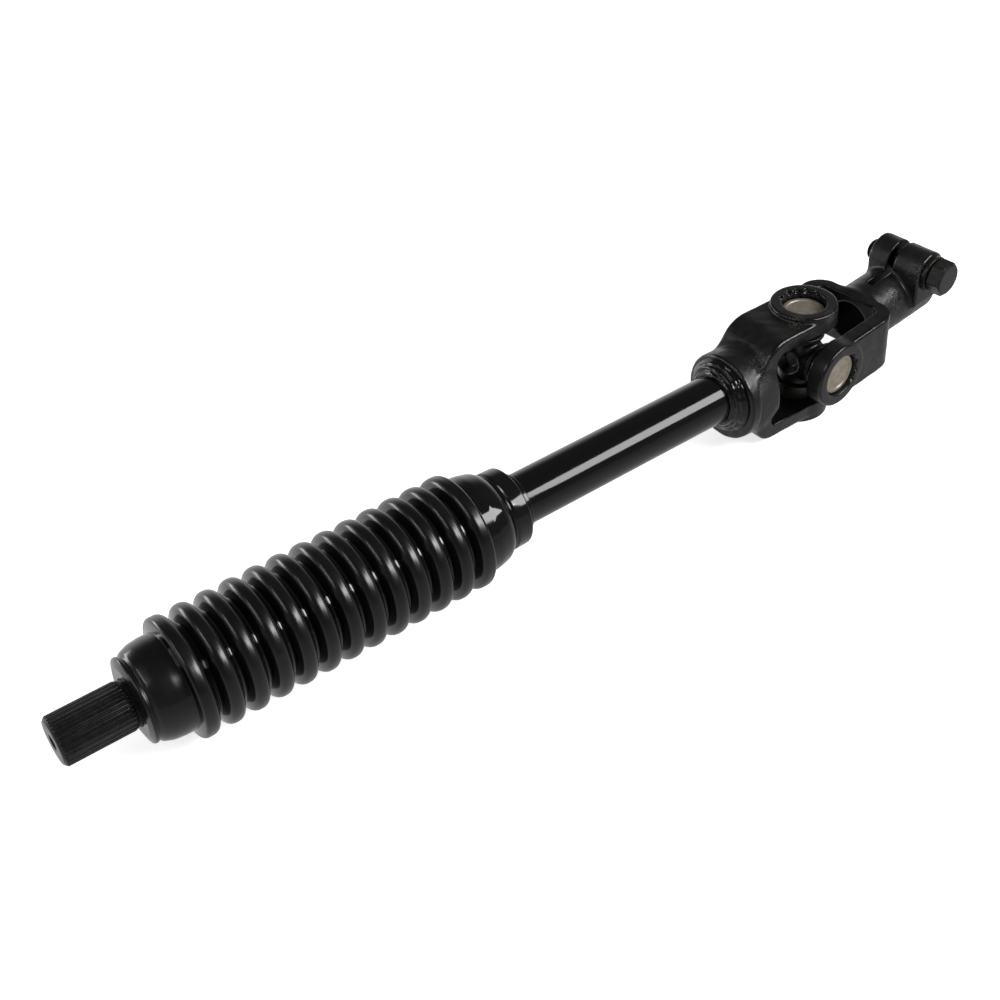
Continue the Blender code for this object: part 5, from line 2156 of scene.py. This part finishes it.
@dataclass
class Studio:
    """The pale floor, the soft lamps, the white surroundings and the camera."""

    camera_place: Triple = (-0.27496, -0.35301, 0.38644)
    view_forward: Triple = (0.4402, 0.6338, -0.6360)
    view_right: Triple = (0.7973, -0.6017, -0.0477)
    lens: float = 50.99
    sensor: float = 36.0
    floor_size: float = 3.0
    floor_drop: float = 0.2 * MM
    floor_colour: Colour = (0.82, 0.82, 0.82)
    floor_glow: float = 0.70
    floor_front: float = 0.36
    floor_change: float = 0.16
    ambient: float = 0.34
    ceiling: float = 0.10
    ceiling_from: float = 0.55
    front: float = 0.16
    front_change: float = 0.6
    back: float = 1.0
    lamps: tuple[Lamp, ...] = (
        Lamp("front_softbox", (0.70, -0.69, 0.73), (0.04, 0.0, 0.03), (0.56, 0.46), 10.5),
        Lamp("left_strip_high", (-0.96, 0.05, 1.03), (0.0, 0.0, 0.03), (0.95, 0.055), 10.0),
        Lamp("left_strip_low", (-1.13, 0.05, 0.86), (0.0, 0.0, 0.03), (0.95, 0.055), 10.0),
        Lamp("front_card", (0.26, -0.76, 0.78), (-0.08, 0.0, 0.04), (0.34, 0.3), 14.0),
        Lamp("back_left_card", (-0.78, 1.39, 0.24), (-0.1, 0.0, 0.03), (0.7, 0.3), 7.0))

    def place_camera(self) -> None:
        """Put the camera where the photograph's camera stood."""
        forward = Vector(self.view_forward).normalized()
        right = Vector(self.view_right)
        right = (right - right.dot(forward) * forward).normalized()
        upward = right.cross(forward)
        data = bpy.data.cameras.new("photo_camera")
        data.lens = self.lens
        data.sensor_width = self.sensor
        data.clip_start = 0.01
        camera = linked("photo_camera", data)
        rows = Matrix((right, upward, -forward)).transposed().to_4x4()
        camera.matrix_world = Matrix.Translation(self.camera_place) @ rows
        bpy.context.scene.camera = camera

    def from_front(self, nodes: NodeWork, along: Socket, reach: float, front: float) -> Socket:
        """Return the level that a reflection shows, dim in front and white at the back.

        Args:
            nodes: The tree to build in.
            along: The coordinate that runs from front to back.
            reach: How far the change of level runs each way.
            front: The level in front.

        Returns:
            The level.
        """
        return nodes.span(along, -reach, reach, front, self.back, smooth=True)

    def dress_world(self) -> None:
        """Make the surroundings white at the horizon, and dimmer in front and overhead.

        The camera and the reflections see them so, and all else is lit evenly.
        """
        world = bpy.data.worlds.new("white_surroundings")
        bpy.context.scene.world = world
        world.use_nodes = True
        nodes = NodeWork(world.node_tree)
        ray = nodes.add("ShaderNodeLightPath").outputs
        seen = nodes.maths("MAXIMUM", ray["Is Camera Ray"], ray["Is Glossy Ray"])
        seen = nodes.maths("MAXIMUM", seen, ray["Is Transmission Ray"])
        _, depth, height = nodes.parts(nodes.add("ShaderNodeTexCoord").outputs["Generated"])
        level = nodes.span(height, 0.0, self.ceiling_from,
                           self.from_front(nodes, depth, self.front_change, self.front),
                           self.ceiling, smooth=True)
        shown = nodes.add("ShaderNodeBackground", Color=WHITE, Strength=nodes.maths(
            "MAXIMUM", level, ray["Is Camera Ray"]))
        lit = nodes.add("ShaderNodeBackground", Color=WHITE, Strength=self.ambient)
        mix = nodes.add("ShaderNodeMixShader", n0=seen, n1=lit.outputs[0], n2=shown.outputs[0])
        nodes.tree.nodes.remove(nodes.tree.nodes["Background"])
        nodes.feed(nodes.tree.nodes["World Output"].inputs["Surface"], mix.outputs[0])

    def floor_material(self) -> bpy.types.Material:
        """Return the floor's material, which glows for the camera and dims reflections in front.

        Returns:
            The material.
        """
        material = bpy.data.materials.new("pale_floor")
        material.use_nodes = True
        nodes = NodeWork(material.node_tree)
        nodes.tree.nodes.remove(nodes.tree.nodes["Principled BSDF"])
        ray = nodes.add("ShaderNodeLightPath").outputs
        matt = nodes.add("ShaderNodeBsdfDiffuse", Color=(*self.floor_colour, 1.0))
        glow = nodes.add("ShaderNodeEmission", Strength=nodes.maths(
            "MULTIPLY", ray["Is Camera Ray"], self.floor_glow))
        both = nodes.add("ShaderNodeAddShader", n0=matt.outputs[0], n1=glow.outputs[0])
        _, depth, _ = nodes.parts(nodes.add("ShaderNodeTexCoord").outputs["Object"])
        mirrored = nodes.add("ShaderNodeEmission", Strength=self.from_front(
            nodes, depth, self.floor_change, self.floor_front))
        mix = nodes.add("ShaderNodeMixShader", n0=ray["Is Glossy Ray"], n1=both.outputs[0],
                        n2=mirrored.outputs[0])
        nodes.feed(nodes.tree.nodes["Material Output"].inputs["Surface"], mix.outputs[0])
        return material

    def lay_floor(self) -> None:
        """Lay the pale floor, which keeps the object's shadow."""
        shape = bmesh.new()
        bmesh.ops.create_circle(shape, cap_ends=True, segments=96, radius=self.floor_size)
        mesh = mesh_of(shape, "studio_floor")
        mesh.transform(Matrix.Translation((0, 0, -self.floor_drop)))
        mesh.materials.append(self.floor_material())
        linked("studio_floor", mesh)

    def build(self) -> None:
        """Set up the whole studio."""
        bpy.context.scene.view_settings.view_transform = "Standard"
        self.place_camera()
        self.dress_world()
        self.lay_floor()
        for lamp in self.lamps:
            lamp.hang()


def build_bearings(layout: Layout, tree: Tree, yaw: float) -> None:
    """Make the four bearings, two in each yoke.

    Args:
        layout: Where the sub-assemblies lie.
        tree: The tree that repeats a piece round X.
        yaw: Turn of the cross about the ear pins at rest, in degrees.
    """
    centre, rubber = layout.joint.origin, Coat(SealRubber())
    steel = Coat(BearingSteel("upright_bearing_steel", centre, 0.0, upright=True))
    for place, along in (("top", Along.UP), ("bottom", Along.DOWN)):
        Bearing(place, along, Body.UPPER).build(layout.joint, tree, steel, rubber)
    steel = Coat(BearingSteel("level_bearing_steel", centre, yaw, upright=False))
    for place, along in (("near", Along.NEAR), ("far", Along.FAR)):
        bearing = Bearing(place, along, Body.CLAMP, face=22.4, floor=0.9)
        bearing.build(layout.clamp, tree, steel, rubber)


def main() -> None:
    """Dress every sub-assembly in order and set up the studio."""
    logging.basicConfig(level=logging.INFO, format="%(message)s")
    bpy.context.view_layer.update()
    layout = Layout.from_frame(REST_YAW, REST_RISE)
    rows, rounds, drops = row_tree(), round_tree(), weld_tree()

    LowerShaft().build(layout, rounds)
    Boot().build(layout, rows)
    ShaftTube().build(layout)
    WeldBead().build(layout, drops)
    paint = Coat(ForgedPaint())
    TubeYoke().build(layout, paint)
    ClampYoke().build(layout, paint)
    Spider().build(layout)
    build_bearings(layout, rounds, REST_YAW)
    PinchBolt().build(layout)

    Studio().build()


if __name__ == "__main__":
    main()
